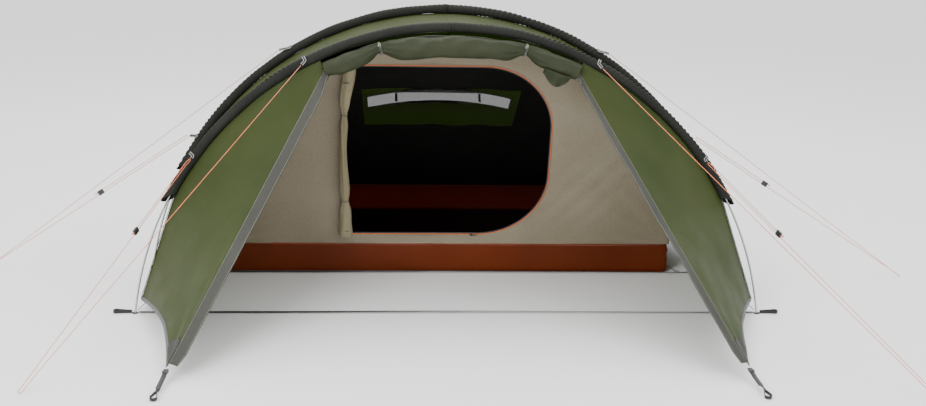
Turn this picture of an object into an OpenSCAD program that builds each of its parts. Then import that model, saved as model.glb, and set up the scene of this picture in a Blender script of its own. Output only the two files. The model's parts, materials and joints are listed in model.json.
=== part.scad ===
// Two-hoop tent with a flysheet, an inner tent, an open front porch and four guylines.
// The feet of the front hoop stand at -hoop_front_y and the door looks towards -Y.

/* [Hoops] */
// Radius of each pole's centre line
hoop_r = 1283; // [1250:1:1310]
// How far each hoop's centre lies under the line between its feet
hoop_drop = 116; // [100:1:130]
// Backward lean of both hoops, in degrees
lean = 10.2; // [9:0.1:11]
// Distance from the part's origin to the front hoop's feet
hoop_front_y = 500; // [495:1:505]
// Distance from the front hoop's feet to the rear hoop's feet
hoop_gap = 560; // [556:1:562]
// Outer diameter of a pole tube
pole_d = 8.5; // [8:0.1:9.5]
// Wall of a pole tube
pole_wall = 0.7; // [0.6:0.05:0.9]
// Tube sections in one pole
pole_sections = 9; // [8:1:10]
// Length of one ferrule
ferrule_len = 60; // [50:1:70]
// Outer radius of a pole sleeve
sleeve_r = 17; // [15:0.5:18]
// Angle from the top at which a pole sleeve ends
sleeve_end = 63.6; // [60:0.1:66]

/* [Flysheet] */
// Thickness given to the flysheet's cloth
fly_t = 1.2; // [1:0.1:1.6]
// Angle from the top at which the flysheet ends at its sides
fly_end = 82; // [80:0.5:82.5]
// Angle from the top at which each wing's zip begins
wing_top = 25; // [23:0.5:27]
// Half the distance between the two front peg corners
corner_x = 1060; // [1040:5:1080]
// How far the front peg corners lie before the origin
corner_y = 1245; // [1230:5:1260]
// Height of the flysheet's hem above the ground
hem_z = 50; // [45:1:60]
// Half the distance between the two rear peg corners
rear_x = 1000; // [980:5:1010]
// How far the rear hem lies behind the origin
rear_y = 1330; // [1320:5:1345]
// Width of the flap that covers each fly zip
flap_w = 42; // [38:1:46]
// Radius of the rolled-up fly door
roll_r = 44; // [38:1:46]

/* [Rear vent] */
// Angle of the open hood from the rear slope, in degrees
vent_open = 25; // [24:0.5:26]
// Length of the hood from its hinge to its free edge
hood_len = 150; // [145:1:155]
// Length of each prop under the hood
strut_len = 45.5; // [43:0.5:46]

/* [Inner tent] */
// Half the width of the bathtub floor at its front
floor_x = 1012; // [1000:1:1015]
// Height of the bathtub walls
tub_h = 130; // [125:1:132]
// Thickness given to the inner tent's cloth
inner_t = 1; // [0.8:0.1:1.2]
// Half the width of the inner door
door_x = 445; // [430:5:450]
// Height of the inner door, up the slope of the wall
door_h = 820; // [790:5:825]

/* [Guylines] */
// Diameter of a guyline
line_d = 2.8; // [2.4:0.1:3]
// Radius inside the webbing loops that take the pegs
loop_r = 12; // [10:0.5:13]
// Width of the black webbing
web_w = 14; // [12:1:15]

/* [Hidden] */
$fn = 48;

front_foot = -hoop_front_y;
rear_foot = hoop_gap - hoop_front_y;
foot_a = acos(hoop_drop / hoop_r);
pole_a = foot_a - 0.37;             // the tube ends above its tip
section_a = 2 * foot_a / pole_sections;
ferrule_a = ferrule_len / hoop_r * 180 / PI;
pole_r = pole_d / 2;
bore_r = pole_r - pole_wall;
cloth_r = hoop_r - sleeve_r - 2;   // the flysheet lies just under the sleeves
seam = 1;                           // room left between two sewn pieces

function unit(v) = v / norm(v);
// A point of a hoop: its feet's Y, the angle from its top and the radius
function hoop(foot_y, a, r) = let (v = r * cos(a) - hoop_drop)
    [r * sin(a), foot_y + v * sin(lean), v * cos(lean)];
function fly_r(a) = cloth_r - 1.6 * max(0, abs(a) - 62);

// Turns the plane of a ring into the plane of the hoop whose feet lie at foot_y
module in_hoop(foot_y) {
    translate([0, foot_y, 0]) rotate([90 - lean, 0, 0]) translate([0, -hoop_drop, 0]) children();
}

// A round tube along a hoop from angle a0 to a1, measured from the top towards +X
module hoop_tube(foot_y, a0, a1, r_out, r_in, ring_r = hoop_r) {
    in_hoop(foot_y) rotate([0, 0, 90 - a1]) rotate_extrude(angle = a1 - a0, $fn = 180)
        translate([ring_r, 0]) difference() {
            circle(r_out);
            if (r_in > 0) circle(r_in);
        }
}

// Children with their Z axis along the line from p to q, starting at p
module along(p, q) {
    d = q - p;
    translate(p) rotate([0, acos(d.z / norm(d)), atan2(d.y, d.x)]) children();
}

// A flat strap of width w and thickness t from p to q
module strap(p, q, w, t) {
    along(p, q) translate([-t / 2, -w / 2, 0]) cube([t, w, norm(q - p)]);
}

// Cloth between the edges a and b, two lists of points, grown by t towards its outer face
module cloth(a, b, t) {
    if (t < 0) cloth_out(b, a, -t); else cloth_out(a, b, t);
}
module cloth_out(a, b, t) {
    n = len(a);
    out = [for (i = [0 : n - 1]) let (j = max(0, i - 1), k = min(n - 1, i + 1))
        t * unit(cross(a[k] - a[j] + b[k] - b[j], b[i] - a[i]))];
    faces = [for (i = [0 : n - 2]) each [
        [i, i + 1, n + i], [i + 1, n + i + 1, n + i],
        [2 * n + i, 3 * n + i, 2 * n + i + 1], [2 * n + i + 1, 3 * n + i, 3 * n + i + 1],
        [i, 2 * n + i, i + 1], [i + 1, 2 * n + i, 2 * n + i + 1],
        [n + i, n + i + 1, 3 * n + i], [n + i + 1, 3 * n + i + 1, 3 * n + i]]];
    ends = [[0, n, 2 * n], [n, 3 * n, 2 * n],
        [n - 1, 3 * n - 1, 2 * n - 1], [2 * n - 1, 3 * n - 1, 4 * n - 1]];
    polyhedron(concat(a, b, a + out, b + out), concat(faces, ends));
}

// Gores between two edges that are functions of an angle, one for each pair of stops
module gores(stops, edge_a, edge_b, t, from = 0, to = 1, rows = 3) {
    for (i = [0 : len(stops) - 2]) {
        gap = 0.06;
        steps = [for (j = [0 : rows]) stops[i] + gap + (stops[i + 1] - stops[i] - 2 * gap) * j / rows];
        cloth([for (s = steps) edge_a(s) + from * (edge_b(s) - edge_a(s))],
            [for (s = steps) edge_a(s) + to * (edge_b(s) - edge_a(s))], t);
    }
}

// A cord of radius r swept along a list of points, with a ring of eight points at each
module cord(points, r) {
    n = len(points);
    sides = 8;
    ring = [for (i = [0 : n - 1]) let (
            d = unit(points[min(n - 1, i + 1)] - points[max(0, i - 1)]),
            u = unit(cross(d, abs(d.z) > 0.9 ? [1, 0, 0] : [0, 0, 1])), v = cross(d, u))
        each [for (k = [0 : sides - 1]) points[i] + r * (cos(45 * k) * u + sin(45 * k) * v)]];
    walls = [for (i = [0 : n - 2], k = [0 : sides - 1]) let (m = (k + 1) % sides, b = sides * i) each [
        [b + k, b + sides + k, b + m], [b + m, b + sides + k, b + sides + m]]];
    caps = [[for (k = [0 : sides - 1]) k], [for (k = [sides - 1 : -1 : 0]) sides * (n - 1) + k]];
    polyhedron(ring, concat(walls, caps));
}

module on_both_sides() {
    children();
    mirror([1, 0, 0]) children();
}

// ---- Poles ----
module pole_sections_of(foot_y) {
    for (i = [0 : pole_sections - 1]) hoop_tube(foot_y, max(-pole_a, -foot_a + i * section_a + 0.01),
        min(pole_a, -foot_a + (i + 1) * section_a - 0.01), pole_r, bore_r);
}

module pole_ferrules_of(foot_y) {
    for (i = [1 : pole_sections - 1]) let (a = -foot_a + i * section_a)
        hoop_tube(foot_y, a - ferrule_a / 2, a + ferrule_a / 2, bore_r - 0.15, bore_r - 0.75);
}

module front_pole_sections() { color("silver") pole_sections_of(front_foot); }
module rear_pole_sections() { color("silver") pole_sections_of(rear_foot); }
module front_pole_ferrules() { color("lightgray") pole_ferrules_of(front_foot); }
module rear_pole_ferrules() { color("lightgray") pole_ferrules_of(rear_foot); }
module front_shock_cord() { color("dimgray") hoop_tube(front_foot, -foot_a + 1.5, foot_a - 1.5, 1.25, 0); }
module rear_shock_cord() { color("dimgray") hoop_tube(rear_foot, -foot_a + 1.5, foot_a - 1.5, 1.25, 0); }

// A pole tip: a plug inside the tube, a collar and a narrow end that stands in the cup
function foot(foot_y) = hoop(foot_y, foot_a, hoop_r);
module pole_tips() {
    color("khaki") on_both_sides() for (foot_y = [front_foot, rear_foot])
        translate(foot(foot_y)) in_tip_axis() {
            translate([0, 0, 2.4]) cylinder(r = pole_r - 1, h = 4);
            translate([0, 0, 5.6]) cylinder(r = pole_r + 0.5, h = 2.2);
            translate([0, 0, 7]) cylinder(r = bore_r - 0.2, h = 14);
        }
}
module in_tip_axis() { rotate([-lean, 0, 0]) rotate([0, -(90 - foot_a), 0]) children(); }

// ---- Feet: a cup for each tip, webbing and a loop for the peg ----
cup_x = foot(front_foot).x + 1;
front_loop_out = 74;
rear_loop_out = 50;
module foot_cups() {
    color("black") on_both_sides() for (foot_y = [front_foot, rear_foot])
        translate([cup_x, foot_y, 0]) difference() {
            cylinder(r = 13, h = 2.4);
            translate([0, 0, 1.2]) cylinder(r = 6.5, h = 3);
        }
}
module peg_loop(x, y) {
    translate([x, y, 0.4]) difference() {
        cylinder(r = loop_r + 2, h = web_w);
        translate([0, 0, -1]) cylinder(r = loop_r, h = web_w + 2);
    }
}
module foot_peg_loops() {
    // The front loops point outwards; the rear ones point backwards and stop short of the guylines above
    color("black") on_both_sides() for (place = [[front_foot, 0, front_loop_out], [rear_foot, 90, rear_loop_out]])
        translate([cup_x, place[0], 0]) rotate([0, 0, place[1]]) {
            peg_loop(place[2], 0);
            translate([13.5, -1, 0.4]) cube([place[2] - loop_r - 14.5, 2, web_w]);
        }
}
module base_strap(foot_y) {
    translate([-cup_x + 14, foot_y - web_w / 2, 0.4]) cube([2 * cup_x - 28, web_w, 1.6]);
}
module front_base_strap() { color("black") base_strap(front_foot); }
module rear_base_strap() { color("black") base_strap(rear_foot); }

// ---- Flysheet ----
canopy_stops = [-fly_end, -70, -58, -44, -30, -15, 0, 15, 30, 44, 58, 70, fly_end];
module fly_canopy() {
    color("darkolivegreen") gores(canopy_stops, function (a) hoop(front_foot + seam, a, fly_r(a)),
        function (a) hoop(rear_foot - seam, a, fly_r(a)), fly_t);
}
module sleeve(foot_y) { hoop_tube(foot_y, -sleeve_end, sleeve_end, sleeve_r, sleeve_r - 1.5); }
module front_sleeve() { color("darkslategray") sleeve(front_foot); }
module rear_sleeve() { color("darkslategray") sleeve(rear_foot); }

// The zip line of the right wing, from under the sleeve to the peg corner
zip_top = hoop(front_foot - 12, wing_top, cloth_r - 40);
corner = [corner_x, -corner_y, hem_z];
zip_dir = unit(corner - zip_top);
wing_out = unit(cross(zip_dir, hoop(front_foot, 55, cloth_r) - zip_top));
zip_in = unit(cross(zip_dir, wing_out));   // across the zip, towards the doorway
function zip_at(s) = zip_top + s * (corner - zip_top);
wing_stops = [wing_top, 33, 42, 52, 62, 72, fly_end];
function wing_edge(a) = hoop(front_foot - seam, a, fly_r(a));
function wing_zip(a) = zip_at((a - wing_top) / (fly_end - wing_top));
module wing() {
    gores(wing_stops, function (a) wing_edge(a), function (a) wing_zip(a), -fly_t);
}
module right_wing() { color("darkolivegreen") wing(); }
module left_wing() { color("darkolivegreen") mirror([1, 0, 0]) wing(); }

zip_w = 26;
module zip_strip(from_w, to_w, up, t, from_s, to_s) {
    edge = function (w, s) zip_at(s) + w * zip_in + up * wing_out;
    cloth([edge(to_w, from_s), edge(to_w, to_s)], [edge(from_w, from_s), edge(from_w, to_s)], t);
}
module fly_zip() {
    zip_strip(seam + 0.5, zip_w, 0, 1, 0.01, 0.985);
    zip_strip(zip_w + 0.5, zip_w + 6, 0, 2.4, 0.01, 0.985);
}
module zip_flap() { zip_strip(seam + 0.5, flap_w, 13, fly_t, 0.005, 0.99); }
slider_at = 0.05;
module fly_zip_slider() {
    p = zip_at(slider_at) + (zip_w + 3.2) * zip_in + 3.2 * wing_out;
    m = [for (r = [0 : 2]) [zip_in[r], wing_out[r], zip_dir[r], p[r]]];
    multmatrix([m[0], m[1], m[2], [0, 0, 0, 1]]) {
        translate([-4.5, 0, -7]) cube([9, 3.6, 14]);
        translate([-2, 3.6, -2]) cube([4, 2.4, 20]);
    }
}
module right_zip_flap() { color("gray") zip_flap(); }
module left_zip_flap() { color("gray") mirror([1, 0, 0]) zip_flap(); }
module right_fly_zip() { color("dimgray") fly_zip(); }
module left_fly_zip() { color("dimgray") mirror([1, 0, 0]) fly_zip(); }
module right_fly_zip_slider() { color("black") fly_zip_slider(); }
module left_fly_zip_slider() { color("black") mirror([1, 0, 0]) fly_zip_slider(); }

// The front door, rolled up under the front sleeve and held by two ties
roll_end = 23;
roll_ring = hoop_r - sleeve_r - roll_r - 8;
module rolled_fly_door() {
    color("darkolivegreen") for (i = [0 : 3]) let (a = -roll_end + i * roll_end / 2)
        hoop_tube(front_foot - 30, a + 0.08, a + roll_end / 2 - 0.08, roll_r, 0, roll_ring);
}
module roll_ties() {
    color("black") for (a = [-13.8, 13.8])
        hoop_tube(front_foot - 30, a - 0.45, a + 0.45, roll_r + 2, roll_r + 0.6, roll_ring);
}

// The rear panel falls from the rear hoop to the hem, with a slot for the vent
rear_corner = [rear_x, rear_y, hem_z];
rear_side = hoop(rear_foot + 6, fly_end, fly_r(fly_end));
fan_a = 58;   // up to this angle the gores run to the rear hem, beyond it to the side hem
function hem(a) = let (s = a < 0 ? -1 : 1, b = abs(a))
    b <= fan_a ? [rear_x * a / fan_a, rear_y, hem_z]
    : let (p = rear_corner + (b - fan_a) / (fly_end - fan_a) * (rear_side + [0, 30, 0] - rear_corner))
        [s * p.x, p.y, p.z];
slot_from = 0.39;
slot_to = 0.455;
slot_a = 17;
function rear_edge(a) = hoop(rear_foot + seam, a, fly_r(a));
module fly_rear_panel() {
    top_edge = function (a) rear_edge(a);
    low_edge = function (a) hem(a);
    side_stops = [slot_a, 30, 44, fan_a, 66, 74, fly_end];
    color("darkolivegreen") {
        gores(side_stops, top_edge, low_edge, fly_t);
        gores([for (i = [6 : -1 : 0]) -side_stops[i]], top_edge, low_edge, fly_t);
        gores([-slot_a, 0, slot_a], top_edge, low_edge, fly_t, 0, slot_from);
        gores([-slot_a, 0, slot_a], top_edge, low_edge, fly_t, slot_to, 1);
    }
}
slope_top = hoop(rear_foot + seam, 0, cloth_r);
slope_end = hem(0);
slope = unit(slope_end - slope_top);
slope_out = [0, -slope.z, slope.y];
function on_slope(s, up) = slope_top + s * (slope_end - slope_top) + up * slope_out;
hinge = on_slope(slot_from, 0) + [0, 0, 9];
// Places children with X across, Y away from the hinge and Z out of the hood, at the open angle
module at_hinge(turn) {
    translate(hinge) rotate([atan2(slope.z, slope.y) + turn, 0, 0]) children();
}
// The hood is folded round a cord in its hinge seam, and each prop turns on a round pin
module vent_hood() {
    color("darkolivegreen") at_hinge(vent_open) {
        linear_extrude(1.5) polygon([[-355, 1], [355, 1], [330, hood_len], [-330, hood_len]]);
        translate([-355, 0, 0]) rotate([0, 90, 0]) cylinder(r = 2.2, h = 710);
    }
}
strut_y = 130;
strut_x = 200;
strut_drop = 3.5;   // each pin lies this far under the hood
hood_turn = atan2(slope.z, slope.y) + vent_open;
strut_pin = hinge + [0, strut_y * cos(hood_turn) + strut_drop * sin(hood_turn),
    strut_y * sin(hood_turn) - strut_drop * cos(hood_turn)];
module vent_struts() {
    color("black") on_both_sides() translate(strut_pin + [strut_x, 0, 0])
        rotate([atan2(slope.z, slope.y), 0, 0]) {
            translate([-6, -1, -strut_len]) cube([12, 2, strut_len - 1]);
            translate([-6, 0, 0]) rotate([0, 90, 0]) cylinder(r = 2.2, h = 12);
        }
}
module vent_mesh() {
    color("black") gores([-slot_a, slot_a], function (a) hoop(rear_foot + seam, a, fly_r(a)) - 5 * slope_out,
        function (a) hem(a) - 5 * slope_out, 1, slot_from - 0.01, slot_to + 0.01, 6);
}

// Corners and their webbing
corner_loop = [corner_x + 25, -corner_y - 201];
rear_loop = [rear_x + 20, rear_y + 116];
wing_hem = hoop(front_foot, fly_end, fly_r(fly_end));
rear_rise = rear_edge(fan_a) - rear_corner;
patch_gap = 6.5;   // a patch lies this far outside its panel
module corner_patches() {
    front_gap = patch_gap * unit(cross(zip_dir, wing_hem - corner));
    rear_gap = patch_gap * unit([0, rear_rise.z, -rear_rise.y]);
    color("black") on_both_sides() {
        gores([fly_end - 4.5, fly_end], function (a) wing_edge(a) + front_gap, function (a) wing_zip(a) + front_gap,
            -fly_t, 0.92, 0.998, 2);
        gores([fan_a - 4.5, fan_a], function (a) rear_edge(a) + rear_gap, function (a) hem(a) + rear_gap,
            fly_t, 0.94, 0.998, 2);
    }
}
module corner_strap(from, to) {
    end = [to.x, to.y, 8];
    strap(from, end + (loop_r + 3.5) * unit(from - end), web_w, 1.6);
    peg_loop(to.x, to.y);
}
module front_corner_straps() {
    color("black") on_both_sides() corner_strap(corner + [2, -8, -8], corner_loop);
}
module rear_corner_straps() {
    color("black") on_both_sides() corner_strap(rear_corner + [2, 33, -19], rear_loop);
}

// ---- Inner tent ----
floor_front = 72;
floor_back = 1165;
floor_back_x = 850;
wall_z = tub_h + 2;
inner_top = 1060;
wall_lean = -260 / 890;   // the front wall comes forward as it rises
power = 2 / 2.4;
// The arch of the inner tent in the front wall, and the one under the rear hoop
function arch(a, half_w, top) = let (s = a < 0 ? -1 : 1)
    [s * half_w * pow(abs(sin(a)), power), 101 + (top - 101) * pow(abs(cos(a)), power)];
function front_arch(a) = let (p = arch(a, floor_x, inner_top)) [p.x, floor_front + (p.y - tub_h) * wall_lean, p.y];
function rear_arch(a) = let (p = arch(a, floor_x - 8, inner_top - 35)) [p.x, 66 + 0.16 * p.y, p.y];
inner_end = 89;
inner_fan = 50;
function tub_edge(a) = let (s = a < 0 ? -1 : 1, b = abs(a))
    b <= inner_fan ? [floor_back_x * a / inner_fan, floor_back - 8, wall_z]
    : let (f = (b - inner_fan) / (inner_end - inner_fan))
        [s * (floor_back_x + f * (floor_x - 6 - floor_back_x)), (floor_back - 8) * (1 - f) + 100 * f, wall_z];
inner_stops = [-inner_end, -75, -62, -50, -34, -17, 0, 17, 34, 50, 62, 75, inner_end];

module groundsheet() {
    color("orangered") linear_extrude(2) polygon([[-floor_x + 4, floor_front + 4], [floor_x - 4, floor_front + 4],
        [floor_back_x - 4, floor_back - 4], [-floor_back_x + 4, floor_back - 4]]);
}
module bathtub_walls() {
    t = 2;
    color("orangered") {
        translate([-floor_x, floor_front, 0]) cube([2 * floor_x, t, tub_h]);
        translate([-floor_back_x, floor_back - t, 0]) cube([2 * floor_back_x, t, tub_h]);
        on_both_sides() linear_extrude(tub_h) polygon([[floor_x - t, floor_front + 3], [floor_x, floor_front + 3],
            [floor_back_x, floor_back - 3], [floor_back_x - t, floor_back - 3]]);
    }
}
// Children drawn in the plane of the front wall: X across, Y up the slope from the bathtub
module on_front_wall() {
    translate([0, floor_front, tub_h]) rotate([90 + atan(-wall_lean), 0, 0]) children();
}
wall_slope = sqrt(1 + wall_lean * wall_lean);
door_low = 55;
// The doorway: a straight left side and sill, and a round right side
module doorway(grow) {
    r = 300;
    hull() {
        translate([-door_x - grow, door_low - grow]) square([300, door_h + 2 * grow]);
        translate([door_x - r, door_low + door_h - r]) circle(r + grow, $fn = 64);
        translate([door_x - r, door_low + r]) circle(r + grow, $fn = 64);
    }
}
module wall_outline() {
    polygon(concat([[-floor_x, 2]], [for (a = [-inner_end : 4 : inner_end]) let (p = arch(a, floor_x, inner_top))
        [p.x, max(0, (p.y - wall_z) * wall_slope) + 2.5]], [[floor_x, 2]]));
}
// The front wall is sewn from panels around the doorway, so that the doorway stays open
module inner_front_wall() {
    cuts = [-door_x, 160, 340];
    color("tan") on_front_wall() linear_extrude(inner_t) difference() {
        wall_outline();
        doorway(4);
        for (x = cuts) translate([x - 0.4, 0]) square([0.8, 1200]);
        for (y = [door_low + 120, door_low + door_h - 150]) translate([160, y]) square([1000, 0.8]);
    }
}
module inner_ceiling() {
    color("dimgray") gores(inner_stops, function (a) front_arch(a) + [0, 4, 0],
        function (a) rear_arch(a) - [0, 3, 0], inner_t);
}
module inner_rear_wall() {
    color("dimgray") gores(inner_stops, function (a) rear_arch(a), function (a) tub_edge(a), inner_t);
}
module inner_door_roll() {
    color("tan") on_front_wall() translate([-door_x + 14, door_low + 10, 24]) rotate([-90, 0, 0])
        cylinder(r = 21, h = door_h - 24);
}
module inner_door_zip() {
    color("orangered") on_front_wall() translate([0, 0, -1]) linear_extrude(3) difference() {
        doorway(3.4);
        doorway(-1);
    }
}
sill_slider_x = 120;
module inner_door_zip_slider() {
    color("black") on_front_wall() translate([sill_slider_x - 6, door_low - 8, 3]) {
        cube([12, 9, 3.4]);
        translate([4, -16, 0]) cube([4, 17, 2]);
    }
}
module inner_door_toggles() {
    color("black") on_front_wall() for (y = [door_low + 40, door_low + door_h - 60])
        translate([-door_x + 14, y, 47.5]) rotate([0, 90, 0]) cylinder(r = 2, h = 26, center = true);
}

// Elastics that pull the bathtub's corners out to the rings at the hoop's feet and the rear hem
ring_x = floor_x + 46;
module corner_elastics() {
    color("black") on_both_sides() {
        along([floor_x + 3, floor_front + 2, 26], [ring_x - 9, rear_foot + 8, 9]) cylinder(r = 1.8, h = 34);
        along([floor_back_x + 2, floor_back + 3, 26], [rear_x - 4, rear_y - 20, 30]) cylinder(r = 1.8, h = 118);
    }
}
module corner_rings() {
    color("silver") on_both_sides() translate([ring_x, rear_foot + 20, 3.2]) rotate_extrude()
        translate([9, 0]) circle(1.8, $fn = 24);
}
// Elastics with a toggle each, which hang the inner tent under the flysheet
module hanging_toggles() {
    color("black") for (y = [-100, 110], x = [-520, 0, 520]) {
        top = inner_top - 35 * (y + 200) / 430;
        low = 101 + (top - 101) * pow(1 - pow(abs(x) / floor_x, 1 / power * 2), power / 2) + 8;
        high = hoop(0, asin(x / cloth_r), cloth_r).z - 4;
        translate([x, y, low]) cylinder(r = 1.5, h = high - low);
        translate([x, y, (low + high) / 2 - 7]) cylinder(r = 4, h = 14);
    }
}

// ---- Guylines: the upper tie, the peg, the lower tie and back to the slider ----
front_left_line = [[-611, -354, 996], [-900, -672, 692], [-1250, -1056, 325], [-1500, -1331, 62],
    [-1540, -1377, 16], [-1548, -1391, 8], [-1558, -1395, 8], [-1562, -1385, 8], [-1554, -1373, 17],
    [-1391, -1063, 213], [-1229, -753, 408], [-1066, -443, 604], [-1055, -427, 614], [-1051, -422, 620],
    [-1053, -425, 626], [-1068, -448, 614], [-1238, -771, 410]];
front_right_line = [[611, -354, 996], [950, -710, 685], [1350, -1131, 319], [1640, -1436, 54],
    [1679, -1478, 16], [1687, -1492, 8], [1697, -1497, 8], [1702, -1487, 8], [1694, -1475, 17],
    [1485, -1131, 213], [1275, -787, 408], [1066, -443, 604], [1055, -427, 614], [1051, -422, 620],
    [1053, -425, 626], [1068, -447, 614], [1280, -795, 416]];
rear_left_line = [[-732, 232, 962], [-1130, 188, 663], [-1580, 138, 325], [-1940, 99, 54],
    [-1988, 93, 18], [-2000, 86, 8], [-2006, 94, 8], [-2000, 103, 8], [-1986, 105, 18],
    [-1704, 125, 204], [-1422, 144, 389], [-1140, 164, 575], [-1128, 166, 583], [-1123, 166, 589],
    [-1128, 166, 596], [-1146, 164, 584], [-1526, 137, 334]];
rear_right_line = [[732, 226, 962], [1150, 156, 660], [1650, 71, 299], [1990, 14, 54], [2037, 6, 20],
    [2053, -2, 8], [2059, 6, 8], [2053, 15, 8], [2039, 19, 20], [1739, 64, 209], [1440, 109, 397],
    [1140, 154, 586], [1128, 156, 593], [1123, 156, 599], [1128, 156, 606], [1146, 153, 595],
    [1459, 106, 398]];
module guyline_front_left() { color("orangered") cord(front_left_line, line_d / 2); }
module guyline_front_right() { color("orangered") cord(front_right_line, line_d / 2); }
module guyline_rear_left() { color("orangered") cord(rear_left_line, line_d / 2); }
module guyline_rear_right() { color("orangered") cord(rear_right_line, line_d / 2); }

// Black tabs of webbing that join the sleeves to the guylines
module guy_tabs() {
    color("black") on_both_sides() {
        strap(hoop(front_foot, 27.5, hoop_r + 5) + [0, -21, 4], [608, -350.5, 999], web_w, 2);
        strap(hoop(front_foot, 54, hoop_r + 5) + [0, -18.7, 3.4], [1046, -416, 626], web_w, 2);
        strap(hoop(rear_foot, 31.5, hoop_r + 20), [728, 230, 965.5], web_w, 2);
        strap(hoop(rear_foot, 56.5, hoop_r + 19), [1115, 162, 594], web_w, 2);
    }
}

// A plastic runner on the lower leg: one hole for the leg, one for the end that comes back
module guy_slider(p, q, at) {
    hole_r = line_d / 2 + 1.2;
    color("dimgray") along(p + at * (q - p), q) difference() {
        translate([-16, -4.5, 0]) cube([21, 9, 26]);
        translate([0, 0, -1]) cylinder(r = hole_r, h = 28);
        translate([-11, 0, -1]) cylinder(r = hole_r, h = 28);
    }
}
module guy_slider_front_left() { guy_slider(front_left_line[8], front_left_line[11], 0.66); }
module guy_slider_front_right() { guy_slider(front_right_line[8], front_right_line[11], 0.67); }
module guy_slider_rear_left() { guy_slider(rear_left_line[8], rear_left_line[11], 0.56); }
module guy_slider_rear_right() { guy_slider(rear_right_line[8], rear_right_line[11], 0.66); }

front_pole_sections();
rear_pole_sections();
front_pole_ferrules();
rear_pole_ferrules();
pole_tips();
front_shock_cord();
rear_shock_cord();
foot_cups();
foot_peg_loops();
front_base_strap();
rear_base_strap();
fly_canopy();
front_sleeve();
rear_sleeve();
left_wing();
right_wing();
left_zip_flap();
right_zip_flap();
left_fly_zip();
right_fly_zip();
left_fly_zip_slider();
right_fly_zip_slider();
rolled_fly_door();
roll_ties();
fly_rear_panel();
vent_hood();
vent_struts();
vent_mesh();
corner_patches();
front_corner_straps();
rear_corner_straps();
guy_tabs();
groundsheet();
bathtub_walls();
inner_front_wall();
inner_ceiling();
inner_rear_wall();
inner_door_roll();
inner_door_zip();
inner_door_zip_slider();
inner_door_toggles();
corner_elastics();
corner_rings();
hanging_toggles();
guyline_front_left();
guyline_front_right();
guyline_rear_left();
guyline_rear_right();
guy_slider_front_left();
guy_slider_front_right();
guy_slider_rear_left();
guy_slider_rear_right();
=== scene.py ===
import json
import bmesh
import bpy
import numpy as np
from mathutils import Matrix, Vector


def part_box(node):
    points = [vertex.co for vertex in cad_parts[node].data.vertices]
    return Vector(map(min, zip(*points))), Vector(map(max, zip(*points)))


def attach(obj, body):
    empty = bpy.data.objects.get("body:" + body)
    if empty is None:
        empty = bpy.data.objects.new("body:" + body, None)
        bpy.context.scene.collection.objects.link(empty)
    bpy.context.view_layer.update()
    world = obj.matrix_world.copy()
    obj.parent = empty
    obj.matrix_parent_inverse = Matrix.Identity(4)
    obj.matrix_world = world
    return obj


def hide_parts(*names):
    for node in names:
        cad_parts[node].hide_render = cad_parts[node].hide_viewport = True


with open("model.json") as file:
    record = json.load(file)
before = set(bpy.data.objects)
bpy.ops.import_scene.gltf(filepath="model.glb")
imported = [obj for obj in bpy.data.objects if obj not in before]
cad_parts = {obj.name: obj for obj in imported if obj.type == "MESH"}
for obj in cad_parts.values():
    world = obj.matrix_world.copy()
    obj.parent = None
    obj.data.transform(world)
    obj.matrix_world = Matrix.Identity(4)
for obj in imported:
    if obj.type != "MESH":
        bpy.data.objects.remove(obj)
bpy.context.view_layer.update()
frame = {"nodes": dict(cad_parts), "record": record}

print("frame loaded")

# The two hoops, which nearly every piece follows
hoopShape = dict(radius=1.283, drop=0.116, lean=np.radians(10.2), clothRadius=1.264, sleeveEnd=63.6,
                 clothEnd=82.0, chordStart=63.0)
cupRadius = 0.013
footLow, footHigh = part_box("foot_cups")
frontFootY = footLow[1] + cupRadius
rearFootY = footHigh[1] - cupRadius
root = "root_body"


def hoopPoint(footY, degrees, radius):
    # A point of a hoop's plane: the sine of the angle across, the cosine less the drop upwards, then leant
    angle = np.radians(degrees)
    up = radius * np.cos(angle) - hoopShape["drop"]
    return np.stack(np.broadcast_arrays(radius * np.sin(angle), footY + up * np.sin(hoopShape["lean"]),
                                        up * np.cos(hoopShape["lean"])), -1)


def clothRadius(degrees):
    # The cloth lies under the sleeves; below them its edge is a straight chord, down to the hem
    start, end = hoopShape["chordStart"], hoopShape["clothEnd"]
    half = np.radians((end - start) / 2)
    bend = np.radians(np.maximum(np.abs(degrees), start) - (start + end) / 2)
    chord = hoopShape["clothRadius"] * np.cos(half) / np.cos(bend)
    return np.where(np.abs(degrees) > start, chord, hoopShape["clothRadius"])


hoopNormal = np.array([0, -np.cos(hoopShape["lean"]), np.sin(hoopShape["lean"])])    # towards the door


def unit(v):
    v = np.asarray(v, float)
    return v / np.linalg.norm(v, axis=-1, keepdims=True)


def lerp(a, b, t):
    return a + (b - a) * t


def smooth(x, low, high):
    t = np.clip((x - low) / (high - low), 0, 1)
    return t * t * (3 - 2 * t)


def grid(columns, rows, uRange=(0, 1), vRange=(0, 1)):
    # Two arrays of parameters: u runs along the first axis and v along the second
    return np.meshgrid(np.linspace(*uRange, columns), np.linspace(*vRange, rows), indexing="ij")


def ripple(u, v, seed, low, high, count=9):
    # A sum of sine waves with random directions and wavelengths, between about -1 and 1; u and v in metres
    rng = np.random.default_rng(seed)
    u, v = np.broadcast_arrays(u, v)
    total = np.zeros(u.shape)
    for _ in range(count):
        turn, waves, phase = rng.uniform(0, np.pi), rng.uniform(low, high), rng.uniform(0, 6.28)
        total += np.sin(6.283 * waves * (u * np.cos(turn) + v * np.sin(turn)) + phase)
    return total / np.sqrt(count)


def gridNormals(points):
    # The cross product of the differences along the two directions of the grid
    return unit(np.cross(np.gradient(points, axis=0), np.gradient(points, axis=1)) + 1e-12)


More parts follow.
